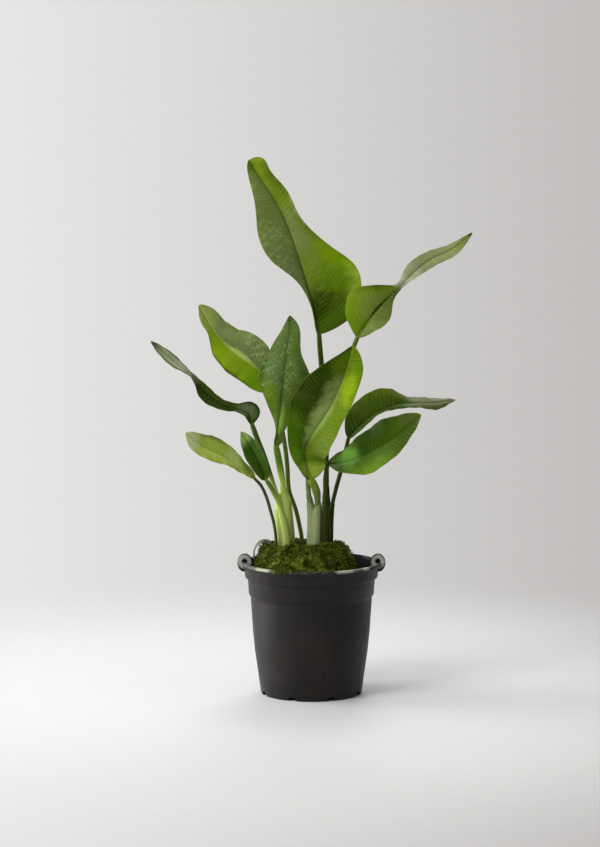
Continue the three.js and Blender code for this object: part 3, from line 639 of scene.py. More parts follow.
class Graph:
    """The nodes of a material or a world. An input is a Value, a plain value or a colour's code."""

    def __init__(self, owner):
        owner.use_nodes = True
        self.owner = owner
        self.tree = owner.node_tree
        self.tree.nodes.clear()

    def node(self, kind, inputs=None, **settings):
        made = self.tree.nodes.new("ShaderNode" + kind)
        for key, value in settings.items():
            setattr(made, key, value)
        for key, value in (inputs or {}).items():
            if isinstance(value, Value):
                self.tree.links.new(value.socket, made.inputs[key])
            else:
                plain = (*colour(value), 1) if isinstance(value, str) else value
                made.inputs[key].default_value = plain
        return made

    def value(self, kind, inputs=None, output=0, **settings):
        return Value(self, self.node(kind, inputs, **settings).outputs[output])

    def math(self, operation, a, b=0.0):
        return self.value("Math", {0: a, 1: b}, operation=operation)

    def sine(self, value):
        return self.math("SINE", value)

    def length(self, a, b):
        return self.math("SQRT", a * a + b * b)

    def ramp(self, value, low, high):
        """0 below low, 1 above high and smooth between, or the reverse where low is the higher."""
        return self.value("MapRange", {0: value, 1: low, 2: high}, interpolation_type="SMOOTHSTEP")

    def span(self, value, low, high):
        """A ramp between two sizes in millimetres."""
        return self.ramp(value, low * MM, high * MM)

    def mix(self, share, a, b):
        return self.value("Mix", {0: share, 6: a, 7: b}, 2, data_type="RGBA")

    def paint(self, base, tone, mask, strength):
        """base with a tone laid over it where the mask is 1."""
        return self.mix(mask * strength, base, tone)

    def noise(self, vector, scale, detail=3.0, roughness=0.5):
        inputs = {"Vector": vector, "Scale": scale, "Detail": detail, "Roughness": roughness}
        return self.value("TexNoise", inputs)

    def flat(self, x, y):
        return self.value("CombineXYZ", {0: x, 1: y})

    def streaks(self, across, along, roughness):
        """Noise in fine lines along a leaf or a stem."""
        return self.noise(self.flat(across * STREAKS_ACROSS, along * STREAKS_ALONG), 1.0, 3.0, roughness)

    def cells(self, vector, scale):
        return self.value("TexVoronoi", {"Vector": vector, "Scale": scale}, "Distance")

    def place(self):
        return self.value("TexCoord", None, "Object")

    def parts(self, vector):
        return [Value(self, output) for output in self.node("SeparateXYZ", {0: vector}).outputs]

    def uv(self, name):
        return self.parts(self.value("UVMap", uv_map=name))[:2]

    def bump(self, height, strength, depth):
        return self.value("Bump", {"Height": height, "Strength": strength, "Distance": depth * MM})

    def finish(self, base, roughness, normal, specular, tint=None, through=0.0):
        """The surface of the material. through is the share of light that shines through it."""
        inputs = {"Base Color": base, "Roughness": roughness, "Normal": normal}
        inputs["Specular IOR Level"] = specular
        if tint is not None:
            inputs["Specular Tint"] = (*tint, 1)
        surface = self.value("BsdfPrincipled", inputs)
        if through > 0:
            light = self.value("BsdfTranslucent", {"Color": base})
            surface = self.value("MixShader", {0: through, 1: surface, 2: light})
        self.node("OutputMaterial", {"Surface": surface})
        return self.owner


def new_graph(name):
    return Graph(bpy.data.materials.new(name))


def leaf_material(name, looks, under=False):
    """The waxy skin of one side of a leaf, with its soft patches of own tone and of painted light and shade,
    veins, rib and margin.
    """
    g = new_graph(name)
    place = g.place()
    across, along = g.uv("leaf")
    far, reach = g.uv("size")
    sideways = across * 2.0 - 1.0
    out = abs(far)
    close = g.noise(place, 110.0, 2.0) - 0.5
    wander = (g.noise(place, 30.0) - 0.5) * 1.1 + close * 0.5

    def near(aside, spot, wide, long):
        """1 in the middle of a patch, falling softly to 0 at its wandering edge."""
        return g.ramp(g.length((sideways - aside) / wide, (along - spot) / long) + wander, 1.25, 0.3)

    # The two halves differ partly in their own tone and partly as painted light and shade, one half lit and
    # the other shaded.
    base = g.mix(g.ramp(sideways, -0.05, 0.05), looks["left"], looks["right"])
    for tone, *patch, strength in looks["patches"]:
        base = g.paint(base, tone, near(*patch), strength)
    root = reach - out * VEIN_LEAN - out * out * (VEIN_CURVE / MM)
    stripes = g.ramp(g.sine(root * (TURN / (VEIN_SPACING * MM))), 0.2, 1.0)
    streaks = g.streaks(root, out, 0.7)
    faint = g.ramp(g.noise(place, 42.0, 2.0), 0.4, 0.65)
    base = g.paint(base, g.mix(0.4, base, "b4c078"), stripes * faint, 0.2)
    base = g.paint(base, g.mix(0.45, base, "141f02"), g.ramp(streaks, 0.62, 0.35), 0.3)
    base = g.paint(base, g.mix(0.3, base, "a4b450"), g.ramp(streaks, 0.5, 0.75), 0.25)
    if "fleck" in looks:
        *patch, strength = looks["fleck"]
        rows = root * (TURN / (FLECK_ROWS * MM))
        columns = out * (TURN / (FLECK_COLUMNS * MM))
        bend = close * 4.0
        waves = g.math("MAXIMUM", g.sine(rows + columns + bend), g.sine(rows - columns + bend))
        flecks = g.ramp(waves, -0.1, 1.05) * g.ramp(g.noise(place, 100.0, 3.0, 0.6), 0.36, 0.66)
        base = g.paint(base, "9cb47c", flecks * near(*patch), strength)
    tone, strength = looks["rib"]
    base = g.paint(base, tone, g.span(out, 2.0, 0.6) * g.ramp(streaks, 0.25, 0.6), strength)
    base = g.paint(base, "7c7a2c", g.ramp(abs(sideways), 0.955, 0.995), 0.35)
    if under:
        base = g.mix(0.4, base, "7f9058")
    rough = g.noise(place, 60.0, 2.0) * 0.2 + (0.5 if under else 0.38)
    return g.finish(base, rough, g.bump(streaks * 1.2, 0.3, 0.12), 0.22, LEAF_GLINT, 0.12)


def stem_material(name, low, high, dry, change, pale):
    """A fibrous green skin that changes between two heights, with fine lines along the stem."""
    g = new_graph(name)
    place = g.place()
    base = g.mix(g.span(g.parts(place)[2], *change), low, high)
    lines = g.streaks(*g.uv("size"), 0.6)
    base = g.paint(base, g.mix(0.5, base, "d0d8a0"), g.ramp(lines, 0.45, 0.75), pale)
    base = g.paint(base, g.mix(0.5, base, "1c2a0c"), g.ramp(lines, 0.5, 0.25), 0.4)
    base = g.paint(base, dry, g.ramp(g.noise(place, 75.0, 4.0, 0.7), 0.58, 0.7), 0.55)
    return g.finish(base, lines * 0.2 + 0.42, g.bump(lines, 0.5, 0.25), 0.25, LEAF_GLINT)


def pot_material():
    """Black moulded plastic: a soft gloss, draw lines, wear and painted highlights on the rim, painted
    highlights on the ears, painted shade inside, and scuffs.
    """
    g = new_graph("pot_plastic")
    place = g.place()
    x, y, z = g.parts(place)
    angle = g.math("ARCTAN2", y, x)
    out = g.length(x, y)
    draw = g.noise(g.flat(angle * 26.0, z * 3.0), 1.0, 3.0, 0.6)
    dust = g.noise(place, 16.0, 5.0, 0.6)
    base = g.mix(g.ramp(dust, 0.35, 0.7), "0c0908", "191210")
    base = g.paint(base, "28221e", g.ramp(draw, 0.45, 0.7), 0.25)
    soiled = g.ramp(g.noise(place, 55.0, 5.0, 0.7), 0.5, 0.68) * g.span(z, 30, 0)
    base = g.paint(base, "4c463a", soiled, 0.3)
    # The inner wall below the rim is painted near-black as painted shade inside the pot, and made rougher.
    inside = g.span(z, POT_HEIGHT - 26, POT_HEIGHT - 23)
    inside = inside * g.span(out, POT_RIM_RADIUS - 4.4, POT_RIM_RADIUS - 5.6)
    base = g.mix(inside, base, "060505")

    # Pale places on the rim: faint real wear from noise, and the fixed spots, which are painted highlights
    # where the rim catches light.
    patchy = g.noise(place, 34.0, 4.0, 0.7)
    wear_and_highlight = g.ramp(patchy, 0.45, 0.62) * 0.3
    for spot, half in RIM_HIGHLIGHTS:
        wear_and_highlight = g.math("MAXIMUM", wear_and_highlight, g.ramp(abs(angle - spot), half, 0.4 * half))
    on_top = g.span(z, POT_HEIGHT - 5.5, POT_HEIGHT - 2.5) * g.span(z, POT_HEIGHT + 1, POT_HEIGHT + 0.3)
    on_rim = on_top * g.span(out, POT_RIM_RADIUS + 2.5, POT_RIM_RADIUS + 1.5)
    base = g.paint(base, "9fa08c", wear_and_highlight * on_rim, 0.85)

    # The pale ring on each ear's faces round its hole is a painted highlight.
    from_hole = g.length(abs(x) - EAR_CENTRE[0] * MM, z - (EAR_CENTRE[1] + EAR_HOLE_RISE) * MM)
    deep = abs(y)
    half = EAR_DEPTH / 2
    face = g.span(deep, half - 1.2, half - 0.3) * g.span(deep, half + 1.5, half + 0.5)
    ring = g.span(from_hole, EAR_HOLE_RADIUS, EAR_HOLE_RADIUS + 1.4) * g.span(from_hole, 14.5, 9.5)
    base = g.paint(base, "a2a29c", ring * face * g.ramp(patchy, 0.3, 0.5), 0.8)

    scuffs = g.cells(g.flat(angle * 9.0, z * 55.0), 1.0)
    rough = g.ramp(dust, 0.3, 0.8) * 0.16 + g.ramp(scuffs, 0.25, 0.05) * 0.08 + inside * 0.4 + 0.42
    grain = g.noise(place, 900.0, 2.0, 0.6)
    return g.finish(base, rough, g.bump(grain + draw * 0.8, 0.2, 0.12), 0.24)


def soil_material():
    g = new_graph("soil_mix")
    place = g.place()
    grains = g.noise(place, 260.0, 6.0, 0.75)
    base = g.mix(g.ramp(grains, 0.35, 0.7), "1d150d", "473726")
    base = g.paint(base, "6d5a40", g.ramp(g.cells(place, 210.0), 0.22, 0.1), 0.6)
    return g.finish(base, 0.95, g.bump(grains, 0.8, 1.2), 0.2)


def moss_material(name, dark, middle, light):
    """Moss whose shade of green is drawn for each sprig."""
    g = new_graph(name)
    place = g.place()
    shade = g.value("Attribute", None, "Fac", attribute_name="shade")
    base = g.mix(g.ramp(shade, 0.0, 0.6), dark, middle)
    base = g.mix(g.ramp(shade, 0.65, 1.0), base, light)
    clumps = g.noise(place, 62.0, 2.0)
    base = g.mix(g.ramp(clumps, 0.48, 0.36), base, g.mix(0.75, base, dark))
    base = g.paint(base, g.mix(0.6, base, light), g.ramp(clumps, 0.5, 0.62), 0.7)
    base = g.paint(base, "5c5420", g.ramp(g.noise(place, 38.0, 4.0, 0.6), 0.55, 0.72), 0.35)
    grain = g.noise(place, 700.0, 3.0, 0.7)
    base = g.paint(base, "1f2606", g.ramp(grain, 0.55, 0.3), 0.35)
    return g.finish(base, 0.85, g.bump(grain, 0.6, 0.4), 0.2, LEAF_GLINT, 0.15)


def dry_material():
    g = new_graph("dry_leaf")
    grain = g.noise(g.place(), 160.0, 5.0, 0.7)
    base = g.mix(g.ramp(grain, 0.35, 0.65), "22211a", "66645a")
    return g.finish(base, 0.8, g.bump(grain, 0.6, 0.6), 0.3)


# Leaves

def frames_along(centres, facing):
    """The way of a line at each point, the way across it nearest to facing, and the third way."""
    along = unit(np.gradient(centres, axis=0))
    front = unit(facing - along * (facing * along).sum(-1, keepdims=True))
    return along, front, np.cross(along, front)


def blade_rows(leaf):
    """The rows of a blade along its rib: places, directions, half widths and lifts."""
    stations = np.array(leaf["stations"], float)
    length = travelled(stations[:, :3])[-1]
    even = np.linspace(0, 1, int(length / ROW_SPACING) + 1)
    share = 0.4 * even + 0.6 * (0.5 - 0.5 * np.cos(np.pi * even))
    at, face, wide, lift = np.split(spline(stations, share), [3, 6, 8], axis=1)
    at_base = np.minimum(share / leaf["base"], 1)
    at_tip = np.minimum((1 - share) / leaf["tip"], 1)
    rounding = np.sqrt(1 - (1 - at_base) ** 2) * np.sqrt(1 - (1 - at_tip) ** 2)
    wide = np.maximum(wide * rounding[:, None], LEAST_HALF_WIDTH)
    _, normal, side = frames_along(at, face)
    rib_base = 0.85 * leaf["petiole"]
    rib = rib_base + (RIB_TIP_RADIUS - rib_base) * np.sqrt(share)
    reach = travelled(at)
    return dict(share=share, at=at, wide=wide, lift=lift, normal=normal, side=side, rib=rib, reach=reach)


def half_blade(leaf, rows, k):
    """Points of one half's upper and lower side from the rib out, with its UV values."""
    sign = (-1, 1)[k]
    width = rows["wide"][:, k, None]
    rib = rows["rib"][:, None]
    share = rows["share"][:, None]
    reach = rows["reach"][:, None]
    lift = rows["lift"][:, k, None]
    rib_share = np.minimum(1.1 * rib / width, 0.3)
    inner = np.linspace(0, 1, RIB_COLUMNS)[None, :] * rib_share
    outer = rib_share + np.linspace(0, 1, HALF_COLUMNS + 1)[None, 1:] ** 0.9 * (1 - rib_share)
    across = np.hstack([inner, outer])
    middle = (across[:, 1:] + across[:, :-1]) / 2
    angle = np.radians(lift + ARCH * (0.5 - middle))
    step = width * np.diff(across, axis=1)
    start = np.zeros_like(width)
    sideways = np.hstack([start, np.cumsum(step * np.cos(angle), axis=1)])
    upward = np.hstack([start, np.cumsum(step * np.sin(angle), axis=1)])
    slope = np.radians(lift + ARCH * (0.5 - across))
    height, count, phase = leaf["wave"]
    swing = height * across**2 * np.sin(np.pi * share)
    swing = swing * np.sin(TURN * count * share + phase + k * 1.7)
    far = width * across
    swing = swing + EDGE_WAVE * across**3 * np.sin(TURN * reach / EDGE_WAVE_LENGTH + 2.1 * k + phase)
    root = reach - VEIN_LEAN * far - VEIN_CURVE * far**2
    strength = VEIN_RELIEF * np.minimum(far / VEIN_START, 1) * (1 - across**4)
    veins = strength * np.sin(TURN * root / VEIN_SPACING)
    side = sign * rows["side"][:, None, :]
    normal = rows["normal"][:, None, :]
    outward = normal * np.cos(slope)[..., None] - side * np.sin(slope)[..., None]
    centre = rows["at"][:, None, :] + side * sideways[..., None] + normal * (upward + swing)[..., None]
    thick = THICK_AT_RIB + (THICK_AT_EDGE - THICK_AT_RIB) * across
    groove = 0.45 * rib * np.exp(-((far / (0.55 * rib + 0.5)) ** 2))
    keel = rib * np.sqrt(np.maximum(1 - (far / (1.1 * rib)) ** 2, 0))
    top = centre + outward * (thick / 2 + veins - groove)[..., None]
    bottom = centre - outward * (thick / 2 - veins + keel)[..., None]
    leaf_map = np.stack([0.5 + 0.5 * sign * across, np.broadcast_to(share, across.shape)], -1)
    size_map = np.stack([sign * far, np.broadcast_to(reach, across.shape)], -1) * MM
    return top, bottom, leaf_map, size_map


def make_blade(leaf, rows):
    """The whole blade as one closed sheet: points, faces, the material of each face and two UV maps."""
    halves = [half_blade(leaf, rows, k) for k in (0, 1)]
    whole = [np.concatenate([left[:, :0:-1], right], axis=1) for left, right in zip(*halves)]
    top, bottom, leaf_map, size_map = whole
    count, columns = top.shape[:2]
    total = count * columns
    number = np.arange(total).reshape(count, columns)
    rim = np.concatenate([number[:, 0], number[-1, 1:], number[-2::-1, -1], number[0, -2:0:-1]])
    after = np.roll(rim, -1)
    upper = grid_faces(count, columns)
    edge = np.stack([rim, after, after + total, rim + total], 1)
    faces = np.concatenate([upper, upper[:, ::-1] + total, edge])
    sides = np.repeat([0, 1, 0], [len(upper), len(upper), len(edge)])
    grids = {"leaf": leaf_map, "size": size_map}
    maps = {key: np.tile(grid.reshape(-1, 2), (2, 1)) for key, grid in grids.items()}
    return np.concatenate([top.reshape(-1, 3), bottom.reshape(-1, 3)]), faces, sides, maps


def make_petiole(leaf, rows):
    """A grooved petiole from inside its sheath, or from the soil, into the rib under the blade."""
    foot = leaf["sheath_top"] - SOCKET_DEPTH if "stalk" in leaf else FOOT
    fine = spline(leaf["stem"], np.linspace(0, 1, PETIOLE_POINTS))
    fine = fine[fine[:, 2] >= foot]
    count = max(int((fine[-1, 2] - foot) / PETIOLE_SPACING), 12)
    centres = fine[np.linspace(0, len(fine) - 1, count).astype(int)]
    inner = np.searchsorted(rows["share"], PETIOLE_END[:, 0])
    sunk = rows["at"][inner] - 0.35 * rows["rib"][inner, None] * rows["normal"][inner]
    centres = np.vstack([centres, sunk])
    radius = leaf["petiole"] * np.linspace(1.0, 0.86, count)
    radius = np.concatenate([radius, rows["rib"][inner] * PETIOLE_END[:, 1]])
    way_up = np.arange(len(centres)) / count
    broad = smooth(way_up, 0.25, 0.6) * (1 - 0.6 * smooth(way_up, 0.85, 1.0))
    radius = radius * (1 + (leaf.get("broad", PLAIN_BROAD) - 1) * broad)
    angles = np.linspace(-np.pi, np.pi, PETIOLE_SIDES, endpoint=False)
    channel = 1 - PETIOLE_GROOVE * np.exp(-((angles / 0.5) ** 2))
    _, front, side = frames_along(centres, rows["normal"][0])
    way = front[:, None] * np.cos(angles)[None, :, None] + side[:, None] * np.sin(angles)[None, :, None]
    points = centres[:, None] + way * (radius[:, None] * channel)[..., None]
    size = np.stack(np.broadcast_arrays(angles * leaf["petiole"], travelled(centres)[:, None]), -1) * MM
    return points.reshape(-1, 3), tube_faces(len(centres), PETIOLE_SIDES), size.reshape(-1, 2)


def make_leaf(name, leaf):
    looks = LEAF_LOOKS[name]
    rows = blade_rows(leaf)
    blade, blade_faces, sides, maps = make_blade(leaf, rows)
    stem, stem_faces, stem_size = make_petiole(leaf, rows)
    points, faces = joined([(blade, blade_faces), (stem, stem_faces)])
    sides = np.concatenate([sides, np.full(len(stem_faces), 2)])
    maps["size"] = np.concatenate([maps["size"], stem_size])
    maps["leaf"] = np.concatenate([maps["leaf"], np.full((len(stem), 2), 0.5)])
    low = STALK_LOOKS[leaf["stalk"]]["high"] if "stalk" in leaf else looks["stem"]
    start = leaf.get("sheath_top", SOIL_TOP)
    materials = [
        leaf_material(name + "_upper", looks),
        leaf_material(name + "_under", looks, under=True),
        stem_material(name + "_petiole", low, looks["stem"], "4a4628", (start - 4, start + 46), 0.15),
    ]
    piece = make_piece(name + "_blade", points, faces, materials, sides, maps)
    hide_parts(name)


# Stalks

def make_sheath(leaf, turn):
    """One leaf's sheath: a tube that wraps over itself, with a slanted mouth and a thin wall there."""
    fine = spline(leaf["stem"], np.linspace(0, 1, SHEATH_POINTS))
    fine = fine[(fine[:, 2] >= FOOT) & (fine[:, 2] <= leaf["sheath_top"] + 1)]
    angles = around(SHEATH_SIDES)
    slant = SHEATH_SLANT * (0.5 + 0.5 * np.cos(angles - turn))
    lap = ((angles - turn - 0.4) / TURN) % 1
    rings = np.linspace(0, 1, SHEATH_RINGS)
    height = leaf["sheath_top"] - FOOT
    outer = []
    for t in rings:
        place = t * (1 - slant / height)
        centre = fine[np.round(place * (len(fine) - 1)).astype(int)]
        radius = spline([(r, 0) for r in leaf["sheath"]], place)[:, 0]
        lines = 1 + SHEATH_LINE_RELIEF * np.sin(SHEATH_LINES * angles + 3 * turn)
        radius = radius * lines + SHEATH_LAP * lap - 0.5
        radius = radius + (leaf["petiole"] + SHEATH_CLEARANCE - radius) * smooth(t, SHEATH_NARROWING, 1.0)
        outer.append((centre, radius))
    least = leaf["petiole"] + 0.1
    mouth = [(centre, np.maximum(radius - 0.5 - 0.35 * k, least))
             for k, (centre, radius) in enumerate(outer[:-8:-1])]
    way = np.insert(circle(angles), 2, 0, axis=1)
    grid = np.array([centre + way * radius[:, None] for centre, radius in outer + mouth])
    reach = np.concatenate([rings * height, (1 - 0.02 * np.arange(len(mouth))) * height])
    size = np.stack(np.broadcast_arrays(angles * leaf["sheath"][0], reach[:, None]), -1) * MM
    return grid.reshape(-1, 3), tube_faces(len(grid), SHEATH_SIDES), size.reshape(-1, 2)


def make_stalk(stalk, looks):
    members = [leaf for leaf in LEAVES.values() if leaf.get("stalk") == stalk]
    turns = [SHEATH_FIRST_TURN + SHEATH_NEXT_TURN * k for k in range(len(members))]
    sheaths = [make_sheath(leaf, turn) for leaf, turn in zip(members, turns)]
    points, faces = joined([sheath[:2] for sheath in sheaths])
    slot = looks["slot"]
    material = stem_material(slot, looks["low"], looks["high"], looks["dry"], STALK_CHANGE, looks["pale"])
    maps = {"size": np.concatenate([size for _, _, size in sheaths])}
    piece = make_piece(stalk + "_sheaths", points, faces, [material], maps=maps)
    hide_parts(stalk)


# Pot

def lathe(profile, sides):
    """A solid of revolution whose first and last profile points lie on the axis."""
    rings = np.array(profile[1:-1], float)
    sheet = np.empty((len(rings), sides, 3))
    sheet[..., :2] = rings[:, :1, None] * circle(around(sides))
    sheet[..., 2] = rings[:, 1:]
    points = np.concatenate([sheet.reshape(-1, 3), [(0, 0, profile[0][1])], [(0, 0, profile[-1][1])]])
    faces = grid_faces(len(rings), sides, closed=True).tolist()
    first = len(rings) * sides
    last = first - sides
    for k in range(sides):
        following = (k + 1) % sides
        faces.append([first, following, k])
        faces.append([first + 1, last + k, last + following])
    return points, faces


def ear(sign):
    """A grip ear: an upright oval lug with rounded edges and a small hole."""
    ring = circle(around(56))
    inner = np.array([0, EAR_HOLE_RISE]) + EAR_HOLE_RADIUS * ring
    outer = np.array([EAR_WIDTH / 2, EAR_HEIGHT / 2]) * ring
    thickness = np.linalg.norm(outer - inner, axis=1)
    corner = np.linspace(0, np.pi / 2, 6)
    rings = []
    for k, (low, high) in enumerate([(1, -1), (1, 1), (0, 1), (0, -1)]):
        for bend in corner + (3 * np.pi / 2 + k * np.pi / 2):
            along = low * thickness + EAR_ROUNDING * (math.cos(bend) - (1 if low else -1))
            spot = inner + (outer - inner) * (along / thickness)[:, None]
            depth = high * (EAR_DEPTH / 2 - EAR_ROUNDING) + EAR_ROUNDING * math.sin(bend)
            x = sign * EAR_CENTRE[0] + spot[:, 0]
            rings.append(np.stack([x, np.full(len(x), depth), EAR_CENTRE[1] + spot[:, 1]], -1))
    sides = len(ring)
    faces = grid_faces(len(rings), sides, closed=True).tolist()
    last = (len(rings) - 1) * sides
    faces += [[last + k, last + (k + 1) % sides, (k + 1) % sides, k] for k in range(sides)]
    return np.concatenate(rings), faces


def rod(middle, way, across, radius, length):
    """A plain round bar along way, whose section has across as one of its directions."""
    turns = around(40)
    ring = radius * (np.cos(turns)[:, None] * across + np.sin(turns)[:, None] * np.cross(way, across))
    points = np.concatenate([middle + end * length / 2 * way + ring for end in (-1, 1)])
    sides = len(turns)
    return points, [*grid_faces(2, sides, closed=True).tolist(), range(sides), range(sides, 2 * sides)]


def helper(name, points, faces):
    """A mesh object for a Boolean, with its faces turned outward."""
    mesh = make_mesh(name, points, faces)
    shape = bmesh.new()
    shape.from_mesh(mesh)
    bmesh.ops.recalc_face_normals(shape, faces=shape.faces)
    shape.to_mesh(mesh)
    shape.free()
    return add_object(name, mesh)


def combine(target, tool, operation):
    """Joins tool to target, or cuts it away, and deletes the tool."""
    modifier = target.modifiers.new("cut", "BOOLEAN")
    modifier.operation = operation
    modifier.solver = "EXACT"
    modifier.object = tool
    bpy.context.view_layer.update()
    result = bpy.data.meshes.new_from_object(target.evaluated_get(bpy.context.evaluated_depsgraph_get()))
    target.modifiers.clear()
    target.data = result
    bpy.data.objects.remove(tool)


def make_pot():
    body = helper("pot_shell", *lathe([*POT_OUTSIDE, *POT_INSIDE], POT_SIDES))
    for sign in (-1, 1):
        combine(body, helper("ear", *ear(sign)), "UNION")
        middle = np.array([sign * EAR_CENTRE[0], 0, EAR_CENTRE[1] + EAR_HOLE_RISE])
        web = rod(middle, np.array([0, 1, 0]), np.array([1, 0, 0]), EAR_HOLE_RADIUS + 1.2, EAR_WEB)
        combine(body, helper("web", *web), "UNION")
    for k in range(DRAIN_COUNT):
        angle = (k + 0.5) / DRAIN_COUNT * TURN
        out = np.array([math.cos(angle), math.sin(angle), 0])
        across = np.array([-math.sin(angle), math.cos(angle), 0])
        notch = rod((POT_BASE_RADIUS - 2) * out, out, across, DRAIN_RADIUS, DRAIN_LENGTH)
        combine(body, helper("notch", *notch), "DIFFERENCE")
    body.data.materials.clear()
    body.data.materials.append(pot_material())
    shade_smooth(body.data, POT_CREASE)
    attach(body, "root")
    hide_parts("pot")


# Soil and moss

def ripple(x, y):
    """Uneven ground as a sum of a few waves, between about -1 and 1."""
    return (
        0.4 * np.sin(x / 3.1 + 1.3 * np.sin(y / 5.3)) + 0.35 * np.sin(y / 2.7 + 1.1 * np.sin(x / 4.1))
        + 0.25 * np.sin((x + y) / 1.9)
    )


GOLDEN = 1.618
CRUMB_POINTS = unit(np.array([
    (-1, GOLDEN, 0), (1, GOLDEN, 0), (-1, -GOLDEN, 0), (1, -GOLDEN, 0), (0, -1, GOLDEN), (0, 1, GOLDEN),
    (0, -1, -GOLDEN), (0, 1, -GOLDEN), (GOLDEN, 0, -1), (GOLDEN, 0, 1), (-GOLDEN, 0, -1), (-GOLDEN, 0, 1),
]))
CRUMB_FACES = [
    [0, 11, 5], [0, 5, 1], [0, 1, 7], [0, 7, 10], [0, 10, 11], [1, 5, 9], [5, 11, 4], [11, 10, 2], [10, 7, 6],
    [7, 1, 8], [3, 9, 4], [3, 4, 2], [3, 2, 6], [3, 6, 8], [3, 8, 9], [4, 9, 5], [2, 4, 11], [6, 2, 10],
    [8, 6, 7], [9, 8, 1],
]


def make_crumb(reach):
    """A lump of bark or soil: a twenty-sided ball pulled out of shape, somewhere on the soil."""
    angle = chance.uniform(0, TURN)
    out = reach * chance.uniform(*CRUMB_REACH)
    size = chance.uniform(*CRUMB_SIZE)
    centre = np.array([out * math.cos(angle), out * math.sin(angle), SOIL_TOP - 0.4 + 0.2 * size])
    stretch = chance.uniform(0.6, 1.3, 3) * size
    rough = chance.uniform(0.75, 1.2, (len(CRUMB_POINTS), 1))
    turn = chance.uniform(0, np.pi)
    spin = np.array([[math.cos(turn), -math.sin(turn), 0], [math.sin(turn), math.cos(turn), 0], [0, 0, 1]])
    return centre + (CRUMB_POINTS * rough * stretch) @ spin.T, CRUMB_FACES


def make_soil():
    reach = POT_COLLAR_RADIUS - POT_WALL - 0.5
    side = [(r - 0.5, z + 0.5) for r, z in POT_INSIDE[::-1] if r > 0 and z < SOIL_TOP - 4]
    top = [(reach * (1 - t), SOIL_TOP) for t in np.linspace(0, 1, SOIL_RINGS)]
    points, faces = lathe([(0, POT_FLOOR + 0.5), *side, *top], SOIL_SIDES)
    ground = points[:, 2] > SOIL_TOP - 1
    x, y = points[ground, 0], points[ground, 1]
    inward = smooth(reach - np.hypot(x, y), 0, 6)
    points[ground, 2] += -1.3 + 1.2 * ripple(x, y) * inward + 0.6 * ripple(y * 2.3, x * 2.1) * inward
    points, faces = joined([(points, faces)] + [make_crumb(reach) for _ in range(CRUMB_COUNT)])
    piece = make_piece("soil_bed", points, faces, [soil_material()])
    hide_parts("soil")


def moss_top(x, y, share):
    """The height of the moss, as in the part's source."""
    mound = MOSS_EDGE + MOSS_RISE * (1 - share**7)
    lumps = 2.6 * np.sin(x / 9 + 1.3 * np.sin(y / 17)) + 2.2 * np.sin(y / 8 - x / 23)
    height = mound + lumps * (1 - 0.5 * share)
    for rise, at_x, at_y, wide, long in MOSS_LUMPS:
        height = height + rise * np.exp(-(((x - at_x) / wide) ** 2) - ((y - at_y) / long) ** 2)
    return SOIL_TOP + np.maximum(height, MOSS_LEAST)


def moss_place(share, angle):
    """A place on the moss from its share of the way out and its angle."""
    edge = MOSS_CENTRE + MOSS_REACH * circle(angle)
    edge = edge * np.minimum(MOSS_LIMIT / np.linalg.norm(edge, axis=-1, keepdims=True), 1)
    flat = MOSS_CENTRE + (edge - MOSS_CENTRE) * share[..., None]
    return flat[..., 0], flat[..., 1]


def make_mound(material):
    """The body of the moss, a closed lumpy cushion under the sprigs."""
    angle, share = np.meshgrid(around(MOUND_SIDES), np.linspace(1, 0.02, MOUND_RINGS) ** 0.8)
    x, y = moss_place(share, angle)
    z = moss_top(x, y, share) - 2.2 + 0.9 * ripple(x * 1.3, y * 1.3)
    top = np.stack([x, y, np.maximum(z, SOIL_TOP + 1)], -1)
    foot = top[:1] * [1, 1, 0] + [0, 0, SOIL_TOP - 1.0]
    points = np.concatenate([foot, top]).reshape(-1, 3)
    shade = chance.uniform(0.0, 0.25, len(points))
    faces = tube_faces(MOUND_RINGS + 1, MOUND_SIDES)
    piece = make_piece("moss_mound", points, faces, [material], shade=shade)
    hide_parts("moss")


def spindles(foot, tip, width):
    """Slim three-sided slivers between pairs of points, each thickest in its middle."""
    along = unit(tip - foot)
    aside = unit(np.cross(along, chance.normal(size=along.shape)))
    above = np.cross(along, aside)
    middle = (foot + tip) / 2
    ring = [middle + width[:, None] * (aside * math.cos(a) + above * math.sin(a)) for a in around(3)]
    points = np.stack([foot, *ring, tip], 1)
    pattern = np.array([[0, 2, 1], [0, 3, 2], [0, 1, 3], [4, 1, 2], [4, 2, 3], [4, 3, 1]])
    faces = (np.arange(len(foot)) * 5)[:, None, None] + pattern
    return points.reshape(-1, 3), faces.reshape(-1, 3).tolist()


